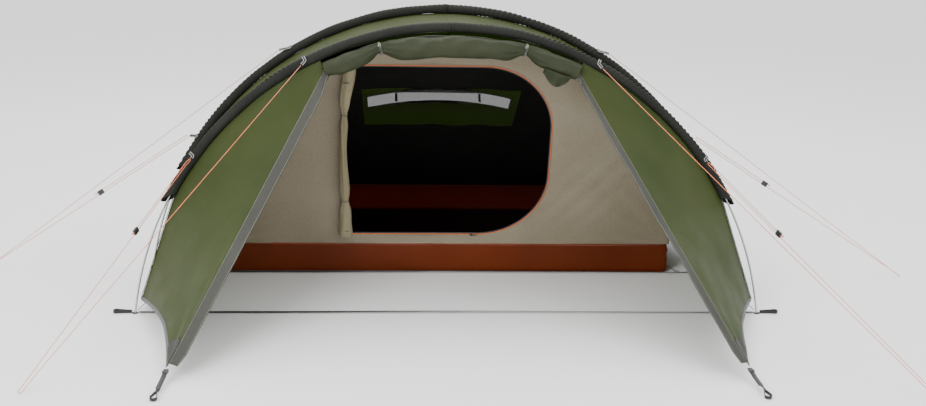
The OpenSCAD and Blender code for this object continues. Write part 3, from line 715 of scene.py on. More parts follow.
def makeZip(name, side, seed, settings):
    top, corner, direction, out, across = zipFrame(side)
    length = np.linalg.norm(corner - top)

    def place(s, w, lift):
        # s is the share of the zip's length from its top, w and lift are metres across it and out of it
        s, w, lift = [np.asarray(part)[..., None] for part in (s, w, lift)]
        return top + s * (corner - top) + w * across + lift * out

    # The tape, whose free edge carries the coil
    turn = np.radians(settings["turn"])
    s, w = grid(161, 5, (0.008, 0.985), (0.0015, settings["tape"] + 0.003))
    wave = 0.0012 * ripple(s * length, w, seed, 2, 8)
    tapePoints = place(s, w * np.cos(turn), w * np.sin(turn) + wave - 0.0008)
    tape = gridPiece(name + "ZipTape", tapePoints, zipTape, 0.0009, slot="zip_tape",
                     inside=place(0.5, 0.0, -1.0))
    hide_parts(name + "_fly_zip")
    run = np.linspace(0.008, 0.985, 700)
    middle = settings["tape"] + 0.003
    coilLine = place(run, np.full(700, middle * np.cos(turn)), np.full(700, middle * np.sin(turn) + 0.0008))
    coil = closedPiece(name + "FlyZipCoil", coilPoints(coilLine), zipCoil, slot="zip_tape")
    # The flap that covers the zip: sewn along the wing and free along its other edge
    s, w = grid(181, 15, (0.004, 0.992))
    wide = settings["flap"] * (0.55 + 0.45 * smooth(s, 0, 0.10)) * (1 - 0.25 * smooth(s, 0.95, 1.0))
    wave = 0.0022 * w * ripple(s * length, w * 0.01, seed + 3, 1, 5)
    lift = settings["flapGap"] * np.sin(np.clip(w * 2.2, 0, np.pi / 2)) + wave
    reach = w * wide
    points = place(s, 0.0008 + reach * np.cos(turn) - lift * np.sin(turn),
                   lift * np.cos(turn) + reach * np.sin(turn))
    flap = gridPiece(name + "ZipFlap", points, flapCloth, 0.0011, slot="grey_flap_cloth",
                     inside=place(0.5, 0.0, -1.0))
    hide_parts(name + "_zip_flap")
    stitches = [stitchLine(name + "FlapStitch" + str(k), points[:, column] + out * 0.0009, 0.0006)
                for k, column in enumerate((1, 13))]
    declareSheet(tapePoints)
    declareSheet(points)
    spot = place(0.05, middle * np.cos(turn) - 0.0032 * np.sin(turn),
                 middle * np.sin(turn) + 0.0032 * np.cos(turn))
    replaceSlider(name + "_fly_zip_slider", name + "_zip_slider_body", spot, across, out, direction)


def coilPoints(path, toothStep=0.0042):
    # A zip's coil: a flattened cord whose thickness swells once for each pair of teeth
    a = np.linspace(0, 2 * np.pi, 9)
    radius = (0.0021 + 0.0004 * np.sin(2 * np.pi * distanceAlong(path) / toothStep))[:, None]
    return sweptPoints(path, radius * np.cos(a), radius * 0.7 * np.sin(a))


def stitchLine(name, path, radius):
    # A row of thread: a thin flattened cord that lies on the cloth
    path = resample(path, 260)
    a = np.linspace(0, 2 * np.pi, 7)
    points = sweptPoints(path, radius * np.cos(a), radius * 0.6 * np.sin(a))
    return closedPiece(name, points, stitchThread, slot="grey_flap_cloth")


def replaceSlider(node, body, place, across, out, along):
    # A zip slider: a rounded body with a bridge over it, and a flat pull
    axes = [unit(across), unit(out), unit(along)]
    spot = np.asarray(place)
    name = node.replace("_", "")
    rides = dict(body=body, slot="black_plastic")
    core = block(name + "Body", spot + out * 0.0015, (0.0095, 0.0038, 0.0135), axes, blackPlastic, 3.2,
                 **rides)
    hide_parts(node)
    t = np.linspace(0.1, 3.04, 24)[:, None]
    bridge = out * (0.0030 + 0.0022 * np.sin(t)) - along * 0.0045 * np.cos(t)
    tube(name + "Bridge", spot + bridge, 0.0009, blackPlastic, 8, **rides)
    t = np.linspace(0, 1, 30)[:, None]
    pull = out * (0.0046 - 0.0012 * t) + along * (0.001 + 0.024 * t)
    ribbon(name + "Pull", spot + pull, 0.0052, 0.0012, blackPlastic, up=out, **rides)


wings = {}
for name, side, turn, seed in (("left", -1, -34.0, 41), ("right", 1, -6.0, 51)):
    wings[name] = makeWing(name, side, seed, wingSettings)
    makeZip(name, side, seed, dict(wingSettings, turn=turn))
print("wings and zips made")

# The front door of the flysheet, unzipped, rolled up under the front hoop and pinched by two ties
rollSettings = dict(end=24.8, ring=1.257, thick=0.043, tie=13.8, turns=11.6, core=0.006, flat=(2.12, 1.38),
                    area=2.15)


def rollRadius(a):
    # Thickest in the middle, pinched at the two ties and drawn in again at the ends
    s = rollSettings
    pinch = np.exp(-((np.abs(a) - s["tie"]) / 2.2) ** 2)
    ends = smooth(np.abs(a), s["end"] - 3.0, s["end"])
    base = np.where(np.abs(a) < s["tie"], s["thick"], s["thick"] * 0.86)
    return base * (1 - 0.42 * pinch) * (1 - 0.22 * ends)


def rollPoint(a, radial, sideways):
    # A point beside the roll's middle line, which hangs close under the sleeve wherever the roll is thin
    middle = rollSettings["ring"] - rollRadius(a)
    return hoopPoint(frontFootY - 0.030, a, middle + radial) + np.asarray(sideways)[..., None] * hoopNormal


def makeRolledDoor(settings):
    a, t = grid(181, 381, (-settings["end"], settings["end"]))
    turn = 2 * np.pi * settings["turns"] * t + 2.2
    radius = rollRadius(a) * lerp(settings["core"] / settings["thick"], 0.96, t ** 0.8)
    run = np.radians(a) * settings["ring"]
    # Long soft folds along the roll and sharper ones that fan out from each tie
    near = np.exp(-((np.abs(a) - settings["tie"]) / 5.0) ** 2)
    soft = 0.0030 * ripple(run * 0.5, turn * 0.035, 61, 3, 9, 8)
    soft = soft + 0.0018 * ripple(run * 0.8, turn * 0.05, 62, 8, 20, 8)
    besideTie = smooth(np.abs(np.abs(a) - settings["tie"]), 0, 1.6)
    fan = 0.0030 * near * np.sin(turn * 9 + 3 * np.sin(run * 14)) * besideTie
    lump = (soft + fan) * smooth(t, 0.0, 0.5)
    droop = 0.006 * np.clip(np.cos(turn - np.pi), 0, 1) * (1 - near)
    radial, sideways = (radius + lump + droop) * np.cos(turn), (radius * 0.92 + lump) * np.sin(turn)
    points = rollPoint(a, radial, sideways)
    # The roll is painted with the darker copy of the fly cloth: painted shade
    door = gridPiece("rolledDoor", points, rollClothShaded, slot="green_flysheet")
    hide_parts("rolled_fly_door")
    # The outer edge of the cloth ends in its zip tape, and one corner hangs loose on the right
    edge = edgeBinding("rolledDoorEdge", points[:, -1], unit(gridNormals(points)[:, -1]), 0.010)
    corner = makeLooseCorner()
    declareSheet(points, flat=settings["flat"])


def makeLooseCorner():
    # A tongue of cloth that hangs from the right end of the roll and tapers downwards
    u, v = grid(41, 31)
    start, finish = 18.2, 23.6
    a = lerp(start, finish, u)
    reach = 0.055 * (0.35 + 0.65 * np.sin(np.pi * u ** 1.3) ** 0.8)
    radial = -rollRadius(np.clip(a, -22, 22)) * 0.9 - v * reach
    sideways = 0.018 + 0.012 * np.sin(v * 3 + 2) + 0.006 * np.sin(u * 14) * v
    points = rollPoint(a, radial, sideways)
    # The loose corner takes the same painted shade as the roll
    return gridPiece("looseDoorCorner", points, rollClothShaded, 0.0006, slot="green_flysheet")


def makeRollTies(settings):
    for index, spot in enumerate((-settings["tie"], settings["tie"])):
        t = np.linspace(0, 2 * np.pi, 60)
        a = np.full(60, spot) + 0.12 * np.sin(t)
        size = rollRadius(np.array(spot)) + 0.0035
        path = rollPoint(a, size * np.cos(t), size * 0.96 * np.sin(t))
        middle = rollPoint(a, 0 * t, 0 * t)
        name = "rollTieLeft" if index == 0 else "rollTieRight"
        tie = ribbon(name, path, 0.009, 0.0016, tieCloth, up=unit(path - middle), slot="black_webbing")
        toggle = rollPoint(np.array(spot + 0.1), -0.15 * size, size * 1.05)
        block("rollToggle" + str(index), toggle, (0.006, 0.006, 0.024), np.eye(3), blackPlastic, 2.6,
              slot="black_plastic")
        for k in (-1, 1):
            spotTack = rollPoint(np.array(spot + 0.16 * k), size * 0.55, size * 0.86)
            tack = spotTack + np.linspace(-0.006, 0.006, 12)[:, None] * np.array([0.1, 0, 1.0])
            ribbon("rollTack%d%s" % (index, "a" if k < 0 else "b"), tack, 0.0018, 0.001, paleThread,
                   up=(0, -1, 0.2),
                   slot="black_webbing")
    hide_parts("roll_ties")


# The rolled door is the flysheet's own cloth, painted about two and a half times darker than flyCloth:
# painted shade of the roll under the hoop
rollClothShaded = clothMaterial("rollClothShaded", (0.028, 0.034, 0.014), (0.018, 0.024, 0.009), 700, 160, 0.50, 0.0,
                          0.003)
tieCloth = webbingMaterial("tieCloth", (0.06, 0.07, 0.045), 500)
paleThread = webbingMaterial("paleThread", (0.42, 0.42, 0.36), 900)
makeRolledDoor(rollSettings)
makeRollTies(rollSettings)
print("rolled door made")

# The rear panel falls from the rear hoop to the back hem and the side hems, with a slot for the vent
rearSettings = dict(cornerX=1.000, hemY=1.330, hemZ=0.050, fan=58.0, slot=(0.39, 0.455), slotEnd=17.0,
                    sag=0.016, rise=0.022)


def rearHem(a):
    # Up to the fan angle the hem runs straight across the back, and beyond it forward to the foot of the hoop
    s = rearSettings
    b = np.abs(a)
    end = hoopShape["clothEnd"]
    share = np.clip((b - s["fan"]) / (end - s["fan"]), 0, 1)
    foot = hoopPoint(rearFootY + 0.006, end, clothRadius(end)) + np.array([0, 0.030, 0])
    x = np.where(b <= s["fan"], s["cornerX"] * b / s["fan"], s["cornerX"] + share * (foot[0] - s["cornerX"]))
    y = s["hemY"] + share * (foot[1] - s["hemY"])
    z = s["hemZ"] + share * (foot[2] - s["hemZ"])
    # Between two pegged points the hem is cut in a hollow curve
    back = np.where(b <= s["fan"], 1 - (b / s["fan"]) ** 2, 0)
    flank = 4 * share * (1 - share)
    return np.stack([np.sign(a) * (x - 0.5 * s["rise"] * flank), y - s["rise"] * back,
                     z + s["rise"] * (back + flank)], -1)


def rearGrid(angles, shares):
    a, v = np.meshgrid(angles, shares, indexing="ij")
    top = hoopPoint(rearFootY, a, clothRadius(a))
    return a, v, top + v[..., None] * (rearHem(a) - top)


def makeRearPanel(settings):
    low, high = settings["slot"]
    shares = np.unique(np.concatenate([np.linspace(0, low, 36), np.linspace(low, high, 8),
                                       np.linspace(high, 1, 48)]))
    end = settings["slotEnd"]
    angles = np.unique(np.concatenate([np.linspace(-82, -end, 80), np.linspace(-end, end, 60),
                                       np.linspace(end, 82, 80)]))
    a, v, points = rearGrid(angles, shares)
    # The cloth hangs a little hollow between the hoop and the hem, but stays straight round the slot
    quiet = 1 - np.exp(-((v - 0.42) / 0.10) ** 2) * np.exp(-(a / 22) ** 2)
    hold = np.sin(np.pi * v) * quiet
    points = points - settings["sag"] * hold[..., None] * gridNormals(points) * outSign(points)
    points = addFolds(points, 0.003, 71, hold ** 0.7, 1.0, 5, (1.0, 0.35))
    columns, rows = 0.5 * (angles[1:] + angles[:-1]), 0.5 * (shares[1:] + shares[:-1])
    slot = (np.abs(columns)[:, None] < end) & ((rows > low) & (rows < high))[None]
    panel = gridPiece("rearPanel", points, flyCloth, 0.0006, keep=~slot, inside=tentMiddle,
                      slot="green_flysheet")
    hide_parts("fly_rear_panel")
    normals = gridNormals(points) * outSign(points)
    hem = edgeBinding("rearHem", points[:, -1], normals[:, -1], 0.016)
    rim = makeSlotRim(points, normals, angles, shares, settings)
    declareSheet(points)


def outSign(points):
    # +1 where the grid's normals point away from the middle of the tent
    return np.sign(np.sum(gridNormals(points) * (points - np.array(tentMiddle))))


def makeSlotRim(points, normals, angles, shares, settings):
    rim = []
    inside = np.abs(angles) <= settings["slotEnd"] + 1e-6
    for label, share in (("Upper", settings["slot"][0]), ("Lower", settings["slot"][1])):
        row = int(np.argmin(np.abs(shares - share)))
        rim.append(edgeBinding("ventRim" + label, points[inside, row], normals[inside, row], 0.010))
    return rim


def makeVentMesh(settings):
    low, high = settings["slot"]
    end = settings["slotEnd"] + 0.6
    points = rearGrid(np.linspace(-end, end, 60), np.linspace(low - 0.01, high + 0.01, 12))[2]
    points = points - 0.004 * gridNormals(points) * outSign(points)
    veil = gridPiece("ventMesh", points, insectMesh, slot="insect_mesh", inside=tentMiddle)
    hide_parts("vent_mesh")
    declareSheet(points)


makeRearPanel(rearSettings)
makeVentMesh(rearSettings)

# The vent's hood: a stiff crowned flap, wider at its hinge, with a bound edge
hoodSettings = dict(wide=0.355, narrow=0.330, length=0.150, crown=0.012, cordRadius=0.0024)


def hoodFrame():
    joint = next(j for j in frame["record"]["behaviour"]["joints"] if j["name"] == "vent_hood_tilt")
    hinge = np.array(joint["pos_m"])
    low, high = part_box("vent_hood")
    # The hood's length runs from the hinge to the rearmost edge of its box
    along = unit(np.array([0, high[1] - hinge[1], low[2] - hinge[2]]))
    return hinge, along, np.cross([1, 0, 0], along)


def makeHood(settings):
    hinge, along, up = hoodFrame()
    x, v = grid(121, 31, (-1, 1))
    reach = settings["length"] * (1 - 0.05 * x ** 2)
    across = x * lerp(settings["wide"], settings["narrow"], v)
    crown = settings["crown"] * np.sin(np.pi * v * 0.5) * (1 - x ** 2) * 0.5
    lift = 0.0012 + crown + 0.0006 * ripple(across, v * 0.1, 81, 2, 8)
    points = hinge + across[..., None] * np.array([1, 0, 0]) + (v * reach)[..., None] * along
    points = points + lift[..., None] * up
    hood = gridPiece("ventHood", points, hoodCloth, 0.0012, inside=hinge - 0.5 * up, body="hood_body",
                     slot="green_flysheet")
    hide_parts("vent_hood")
    ups = np.broadcast_to(up, (121, 3))
    rim = edgeBinding("hoodRim", points[:, -1], ups, 0.012, body="hood_body")
    ends = [edgeBinding("hoodEnd" + side, points[index], np.broadcast_to(up, (31, 3)), 0.010,
                        body="hood_body")
            for side, index in (("Left", 0), ("Right", -1))]
    line = hinge + np.linspace(-settings["wide"], settings["wide"], 80)[:, None] * np.array([1, 0, 0])
    cord = tube("hoodHingeCord", line, settings["cordRadius"], hoodCloth, 12, body="hood_body",
                slot="green_flysheet")
    declareSheet(points)


makeHood(hoodSettings)
print("rear panel and vent made")

# The inner tent's front wall leans forward as it rises; places on it are across, up its slope and out of it
wallSettings = dict(halfWidth=1.012, top=1.060, foot=(0.072, 0.130), lean=np.arctan(260 / 890),
                    doorX=0.445, doorLow=0.055,
                    doorHigh=0.875, round=0.300, centre=(-0.03, 0.44))


def wallPlace(x, y, out):
    s = wallSettings
    x, y, out = np.broadcast_arrays(x, y, out)
    back = s["foot"][0] - y * np.sin(s["lean"]) - out * np.cos(s["lean"])
    return np.stack([x, back, s["foot"][1] + y * np.cos(s["lean"]) - out * np.sin(s["lean"])], -1)


wallOut = np.array([0, -np.cos(wallSettings["lean"]), -np.sin(wallSettings["lean"])])


def innerArch(a, halfWidth, top):
    # A rounded arch: sine and cosine raised to a power below 1, so that it has fuller shoulders than a circle
    angle, power, foot = np.radians(a), 2 / 2.4, 0.101
    x = np.sign(angle) * halfWidth * np.abs(np.sin(angle)) ** power
    return x, foot + (top - foot) * np.abs(np.cos(angle)) ** power


def wallOutline(count=400):
    s = wallSettings
    x, z = innerArch(np.linspace(89, -89, count), s["halfWidth"], s["top"])
    arch = np.stack([x, np.maximum(0.002, (z - s["foot"][1]) / np.cos(s["lean"]))], 1)
    base = np.stack([np.linspace(-s["halfWidth"], s["halfWidth"], 200), np.full(200, 0.002)], 1)
    return np.concatenate([arch, base])


def doorOutline(grow=0.0, count=60):
    # A straight left side and sill, and a round right side
    s = wallSettings
    r = s["round"] + grow
    t = np.linspace(0, np.pi / 2, count)
    left, right = -s["doorX"] - grow, s["doorX"] - s["round"]
    low, high = s["doorLow"] - grow, s["doorHigh"] + grow
    top = np.stack([right + r * np.sin(t), s["doorHigh"] - s["round"] + r * np.cos(t)], 1)
    bottom = np.stack([right + r * np.cos(t), s["doorLow"] + s["round"] - r * np.sin(t)], 1)
    parts = [np.linspace((left, low), (left, high), 120), np.linspace((left, high), (right, high), 90)[1:],
             top[1:], np.linspace(top[-1], bottom[0], 30)[1:], bottom[1:],
             np.linspace(bottom[-1], (left, low), 90)[1:]]
    return np.concatenate(parts)


def aroundCentre(outline, angles):
    # Where a ray from the doorway's centre meets the outline, for each angle
    rel = outline - np.array(wallSettings["centre"])
    found = np.arctan2(rel[:, 1], rel[:, 0])
    order = np.argsort(found)
    return np.stack([np.interp(angles, found[order], rel[order, k], period=2 * np.pi) for k in (0, 1)], 1)


def cornerAngles(corners):
    rel = np.array(corners) - np.array(wallSettings["centre"])
    return np.arctan2(rel[:, 1], rel[:, 0])


def makeFrontWall(settings):
    s = settings
    fixed = cornerAngles([(-s["doorX"] - 0.004, s["doorLow"] - 0.004),
                          (-s["doorX"] - 0.004, s["doorHigh"] + 0.004),
                          (-s["halfWidth"], 0.002), (s["halfWidth"], 0.002)])
    angles = np.sort(np.concatenate([np.linspace(-np.pi, np.pi, 421)[:-1], fixed]))
    angles = np.append(angles, angles[0] + 2 * np.pi)
    inner = aroundCentre(doorOutline(0.002), angles)
    outer = aroundCentre(wallOutline(), angles)
    v = np.linspace(0, 1, 45)
    flat = inner[:, None] + v[None, :, None] * (outer - inner)[:, None] + np.array(s["centre"])
    x, y = flat[..., 0], flat[..., 1]
    # The wall hangs with shallow folds: pulls towards its two lower corners, and a soft bulge in each half
    hold = smooth(v, 0, 0.12) * smooth(1 - v, 0, 0.12)
    out = 0.004 * ripple(x * 0.8, y * 0.6, 91, 1.0, 3.5) * hold
    for sign in (-1, 1):
        dx, dy = x - sign * s["halfWidth"], y
        away, ray = np.hypot(dx, dy), np.arctan2(dy, -sign * dx)
        fade = np.exp(-away / 0.28) * smooth(away, 0.02, 0.12) * hold
        out = out + 0.0045 * np.sin(ray * 17 + 1.5 * np.sin(ray * 5 + sign)) * fade
    fade = np.exp(-((x - 0.62) / 0.2) ** 2 - ((y - 0.25) / 0.2) ** 2) * hold
    out = out + 0.0016 * np.sin((x - 0.9 * y) * 60) * fade
    points = wallPlace(x, y, out)
    wall = gridPiece("innerFrontWall", points, innerCloth, 0.0008, inside=(0, 0.6, 0.4),
                     slot="beige_inner", uv=flat)
    weldRings(wall.data, False)
    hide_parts("inner_front_wall")
    makePiping()
    print("front wall %.2f m2" % gridArea(points))


def makePiping():
    # The zip round the doorway: a dark tape, and bright piping beside it
    outline = doorOutline(0.0012)
    piping = tube("innerDoorPiping", wallPlace(outline[:, 0], outline[:, 1], 0.0022), 0.0020, pipingCloth, 10,
                  slot="orange_piping")
    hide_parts("inner_door_zip")
    outline = doorOutline(-0.0035)
    tape = ribbon("innerZipTape", wallPlace(outline[:, 0], outline[:, 1], 0.0006), 0.0050, 0.0010, zipTape,
                  up=wallOut,
                  slot="orange_piping")
    return [piping, tape]


makeFrontWall(wallSettings)

# The inner door, drawn aside to the left and gathered in two toggles
innerRollSettings = dict(x=-0.431, low=0.066, high=0.872, thick=0.025, turns=11.5, toggles=(0.235, 0.655),
                         flat=(0.89, 0.82), area=0.69)


def innerRollShape(y):
    # The gather's half thickness and its middle line: pinched at each toggle, full between them
    s = innerRollSettings
    pinch = sum(np.exp(-((y - t) / 0.035) ** 2) for t in s["toggles"])
    flare = 1 + 0.25 * smooth(-y, -0.14, -0.06)
    radius = s["thick"] * (0.80 + 0.20 * np.sin(y * 9 + 0.6)) * (1 - 0.45 * pinch) * flare
    middle = s["x"] - 0.006 + 0.005 * np.sin(y * 7.5 + 1.0) + 0.018 * smooth(y, 0.70, 0.88)
    return radius, middle


def makeInnerDoorRoll(settings):
    y, t = grid(151, 337, (settings["low"], settings["high"]))
    radius, middle = innerRollShape(y)
    turn = 2 * np.pi * settings["turns"] * t + 0.8
    size = radius * lerp(0.18, 1.0, t)
    folds = 0.0030 * ripple(y * 0.35, turn * 0.05, 95, 3, 9, 8)
    folds = (folds + 0.0016 * np.sin(turn * 6 + 4 * np.sin(y * 5))) * smooth(t, 0.2, 0.8)
    across = (size + folds) * np.cos(turn)
    out = 0.024 + (size * 0.85 + folds) * np.sin(turn)
    points = wallPlace(middle + across, y, out)
    roll = gridPiece("innerDoorGather", points, doorCloth, slot="beige_inner")
    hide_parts("inner_door_roll")
    for index, height in enumerate(settings["toggles"]):
        ringRadius, ringMiddle = innerRollShape(np.array(height))
        a = np.linspace(0, 2 * np.pi, 40)
        reach = ringRadius + 0.002
        ring = wallPlace(ringMiddle + reach * np.cos(a), height + 0.002 * np.sin(a),
                         0.024 + reach * np.sin(a))
        tube("innerTie" + str(index), ring, 0.0013, blackCord, 8, slot="shock_elastic")
    declareSheet(points, flat=settings["flat"])


makeInnerDoorRoll(innerRollSettings)
replaceSlider("inner_door_zip_slider", "inner_slider_body",
              wallPlace(0.120, wallSettings["doorLow"] - 0.0035, 0.0035),
              np.array([0, 0, -1.0]), wallOut, np.array([1.0, 0, 0]))

# The ceiling and the rear wall of the inner tent are dark mesh
shellSettings = dict(end=89.0, fan=50.0, backX=0.850, backY=1.157, sideX=1.006, sideY=0.100, wallZ=0.132,
                     folds=0.004, window=(0.765, 0.553),
                     windowEnd=18.4)


def frontArch(a):
    x, z = innerArch(a, wallSettings["halfWidth"], wallSettings["top"])
    return np.stack([x, 0.076 - (z - 0.130) * np.tan(wallSettings["lean"]), z], -1)


def rearArch(a):
    x, z = innerArch(a, wallSettings["halfWidth"] - 0.008, wallSettings["top"] - 0.035)
    return np.stack([x, 0.066 + 0.16 * z, z], -1)


def tubEdge(a):
    s = shellSettings
    share = np.clip((np.abs(a) - s["fan"]) / (s["end"] - s["fan"]), 0, 1)
    x = np.where(np.abs(a) <= s["fan"], s["backX"] * np.abs(a) / s["fan"],
                 lerp(s["backX"], s["sideX"], share))
    return np.stack([np.sign(a) * x, lerp(s["backY"], s["sideY"], share), 0 * share + s["wallZ"]], -1)


def makeInnerShell(settings):
    a, v = grid(181, 31, (-settings["end"], settings["end"]))
    points = lerp(frontArch(a), rearArch(a) - np.array([0, 0.003, 0]), v[..., None])
    points = points - (0.012 * np.sin(np.pi * v))[..., None] * gridNormals(points) * outSign(points)
    points = addFolds(points, settings["folds"], 101, np.sin(np.pi * v), 2, 7)
    ceiling = gridPiece("innerCeiling", points, darkCloth, 0.0006, inside=(0, 0.5, 0.3), slot="insect_mesh")
    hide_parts("inner_ceiling")
    declareSheet(points)
    # The rows are bent so that two of them run level, along the upper and the lower edge of the window
    a, rows = grid(221, 81, (-settings["end"], settings["end"]))
    archTop = rearArch(np.clip(a, -25, 25))[..., 2]
    upper, lower = [(archTop - z) / (archTop - settings["wallZ"]) for z in settings["window"]]
    beside = upper + (rows - 0.3) / 0.2 * (lower - upper)
    below = lower + (rows - 0.5) / 0.5 * (1 - lower)
    v = np.where(rows < 0.3, rows / 0.3 * upper, np.where(rows < 0.5, beside, below))
    points = lerp(rearArch(a), tubEdge(a), v[..., None])
    hold = np.sin(np.pi * v) ** 0.8
    points = points - (0.020 * hold)[..., None] * gridNormals(points) * outSign(points)
    points = addFolds(points, settings["folds"], 103, hold, 1.5, 6)
    middleA, middleRow = [0.5 * (part[:-1, :-1] + part[1:, 1:]) for part in (a, rows)]
    window = (np.abs(middleA) < settings["windowEnd"]) & (middleRow > 0.3) & (middleRow < 0.5)
    rear = gridPiece("innerRearWall", points, darkCloth, 0.0006, keep=~window, inside=(0, 0.5, 0.3),
                     slot="insect_mesh")
    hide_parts("inner_rear_wall")
    veil = gridPiece("innerRearWindow", points, windowMesh, keep=window, inside=(0, 0.5, 0.3),
                     slot="insect_mesh")
    declareSheet(points)


makeInnerShell(shellSettings)
print("inner tent made")

# The bathtub floor: one sheet that turns up into its four walls, with round folds and corners
tubSettings = dict(frontX=1.012, frontY=0.072, backX=0.850, backY=1.165, height=0.130, corner=0.009,
                   fold=0.014)


def tubOutline(count, settings):
    # The floor's outline with its corners rounded, walked once round from the middle of the front edge
    s = settings
    corners = np.array([(0, s["frontY"]), (s["frontX"], s["frontY"]), (s["backX"], s["backY"]),
                        (-s["backX"], s["backY"]), (-s["frontX"], s["frontY"]), (0, s["frontY"])])
    line = np.concatenate([corners, np.zeros((len(corners), 1))], 1)
    return resample(roundCorners(line, s["corner"], 4), count)[:, :2]


def makeTub(settings):
    s = settings
    line = tubOutline(561, s)
    centre = np.array([0, 0.5 * (s["frontY"] + s["backY"])])
    # Down the grid: first over the floor from its middle to the fold, then round the fold, then up the wall
    floorShare = np.linspace(0.0, 1.0, 27) ** 0.8
    wallShare = np.linspace(0.0, 1.0, 22)[1:]
    inward = unit(centre - line)
    floor = centre + floorShare[None, :, None] * (line + inward * s["fold"] - centre)[:, None]
    floor = np.concatenate([floor, np.full(floor.shape[:2] + (1,), 0.0012)], -1)
    run = wallShare[None] * np.ones((len(line), 1))
    turn = np.clip(run / 0.2, 0, 1) * np.pi / 2
    rise = np.where(run < 0.2, s["fold"] * (1 - np.cos(turn)),
                    s["fold"] + (run - 0.2) / 0.8 * (s["height"] - s["fold"]))
    step = np.where(run < 0.2, s["fold"] * (1 - np.sin(turn)), 0)
    far = distanceAlong(line)[:, None]
    # The wall bows outwards a little, droops between its corners and creases near them
    corners = np.array([(side * s[end + "X"], s[end + "Y"]) for end in ("front", "back") for side in (1, -1)])
    away = np.linalg.norm(line[:, None] - corners, axis=-1)
    nearCorner = np.exp(-np.min(away, axis=1) / 0.12)[:, None]
    bow = 0.004 * np.sin(np.pi * run) * (1 - nearCorner) + 0.0035 * ripple(far, run * 0.13, 111, 1, 5) * run
    bow = bow + 0.003 * nearCorner * np.sin(run * 22 + far * 40) * run
    closing = smooth(np.minimum(far, far[-1] - far), 0.0, 0.15)
    bow = bow * closing
    droop = 0.004 * (0.5 + 0.5 * np.sin(far * 2.3)) * (1 - nearCorner) * run * closing
    wall = line[:, None] + inward[:, None] * (step - bow + 0.001)[..., None]
    wall = np.concatenate([wall, (rise - droop + 0.0012)[..., None]], -1)
    points = np.concatenate([floor, wall], 1)
    tub = gridPiece("bathtub", points, floorCloth, inside=(0, 0.6, 0.6), slot="orange_floor")
    # The second material is the tub's inside face, painted near-black as painted shade
    tub.data.materials.append(floorInsidePaintedShade)
    weldRings(tub.data, False)
    skin = tub.modifiers.new("thickness", "SOLIDIFY")
    skin.thickness, skin.offset, skin.material_offset = 0.0008, 1.0, 1
    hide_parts("bathtub_walls", "groundsheet")
    top = points[:, -1]
    outward = np.concatenate([-inward, np.zeros((len(line), 1))], 1)
    seam = edgeBinding("tubSeam", top, outward, 0.008, material=floorSeam, slot="orange_floor")
    print("tub %.2f m2" % gridArea(points))


# The inside face of the tub is the same floor cloth painted near-black: painted shade of the dim interior,
# still translucent so outside light shows through it
floorInsidePaintedShade = clothMaterial("floorInsidePaintedShade", (0.008, 0.0030, 0.002), (0.006, 0.0025, 0.002), 700, 200, 0.7,
                            0.22, through=(0.80, 0.16, 0.03))
floorSeam = webbingMaterial("floorSeam", (0.14, 0.022, 0.004), 500)
makeTub(tubSettings)

# Webbing on the ground: straps between the feet, loops for the pegs, and straps at the four corners
webSettings = dict(width=0.014, wide=0.019, thickness=0.0018, loop=0.013, frontPeg=0.074, rearPeg=0.050)


def pegLoopPath(centre, start, radius):
    # A drop shape: from the start round the far side of the peg and back
    centre, start = np.asarray(centre, float), np.asarray(start, float)
    axis = unit(centre - start)
    side = unit(np.cross([0, 0, 1], axis))
    a = np.linspace(-2.2, 2.2, 40)
    bow = centre + radius * (np.cos(a)[:, None] * axis + np.sin(a)[:, None] * side)
    return np.concatenate([[start - side * 0.0016], bow, [start + side * 0.0016]])


def makeFeet(settings):
    loops, made = [], 0
    cupX = footHigh[0] - cupRadius
    for footY, strapNode in ((frontFootY, "front_base_strap"), (rearFootY, "rear_base_strap")):
        across = np.linspace(-cupX + 0.015, cupX - 0.015, 240)
        path = np.stack([across, footY + 0.0015 * np.sin(across * 2.5),
                         0.0065 + 0.002 * np.cos(across * 2.9)], 1)
        twist = 0.3 * np.sin(across * 1.6 + 0.4) * smooth(cupX - np.abs(across), 0.02, 0.3)
        strap = ribbon("baseStrap%d" % (1 if footY < 0 else 2), path, settings["width"] * 0.86,
                       settings["thickness"], blackWeb, twist=twist, slot="black_webbing")
        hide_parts(strapNode)
        for side in (-1, 1):
            # The front loops point outwards and the rear ones backwards
            out = np.array([side, 0, 0]) if footY < 0 else np.array([0, 1, 0])
            cup = np.array([side * cupX, footY, 0])
            centre = cup + out * settings["frontPeg" if footY < 0 else "rearPeg"] + (0, 0, 0.0078)
            start = cup + out * 0.012 + (0, 0, 0.0070)
            loop = ribbon("pegLoop%d" % made, resample(pegLoopPath(centre, start, settings["loop"]), 90),
                          settings["width"] * 0.9, settings["thickness"], blackWeb, up=(0.02, 0.01, 1),
                          twist=np.pi / 2, slot="black_webbing")
            loops.append(loop)
            made += 1
    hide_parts("foot_peg_loops")


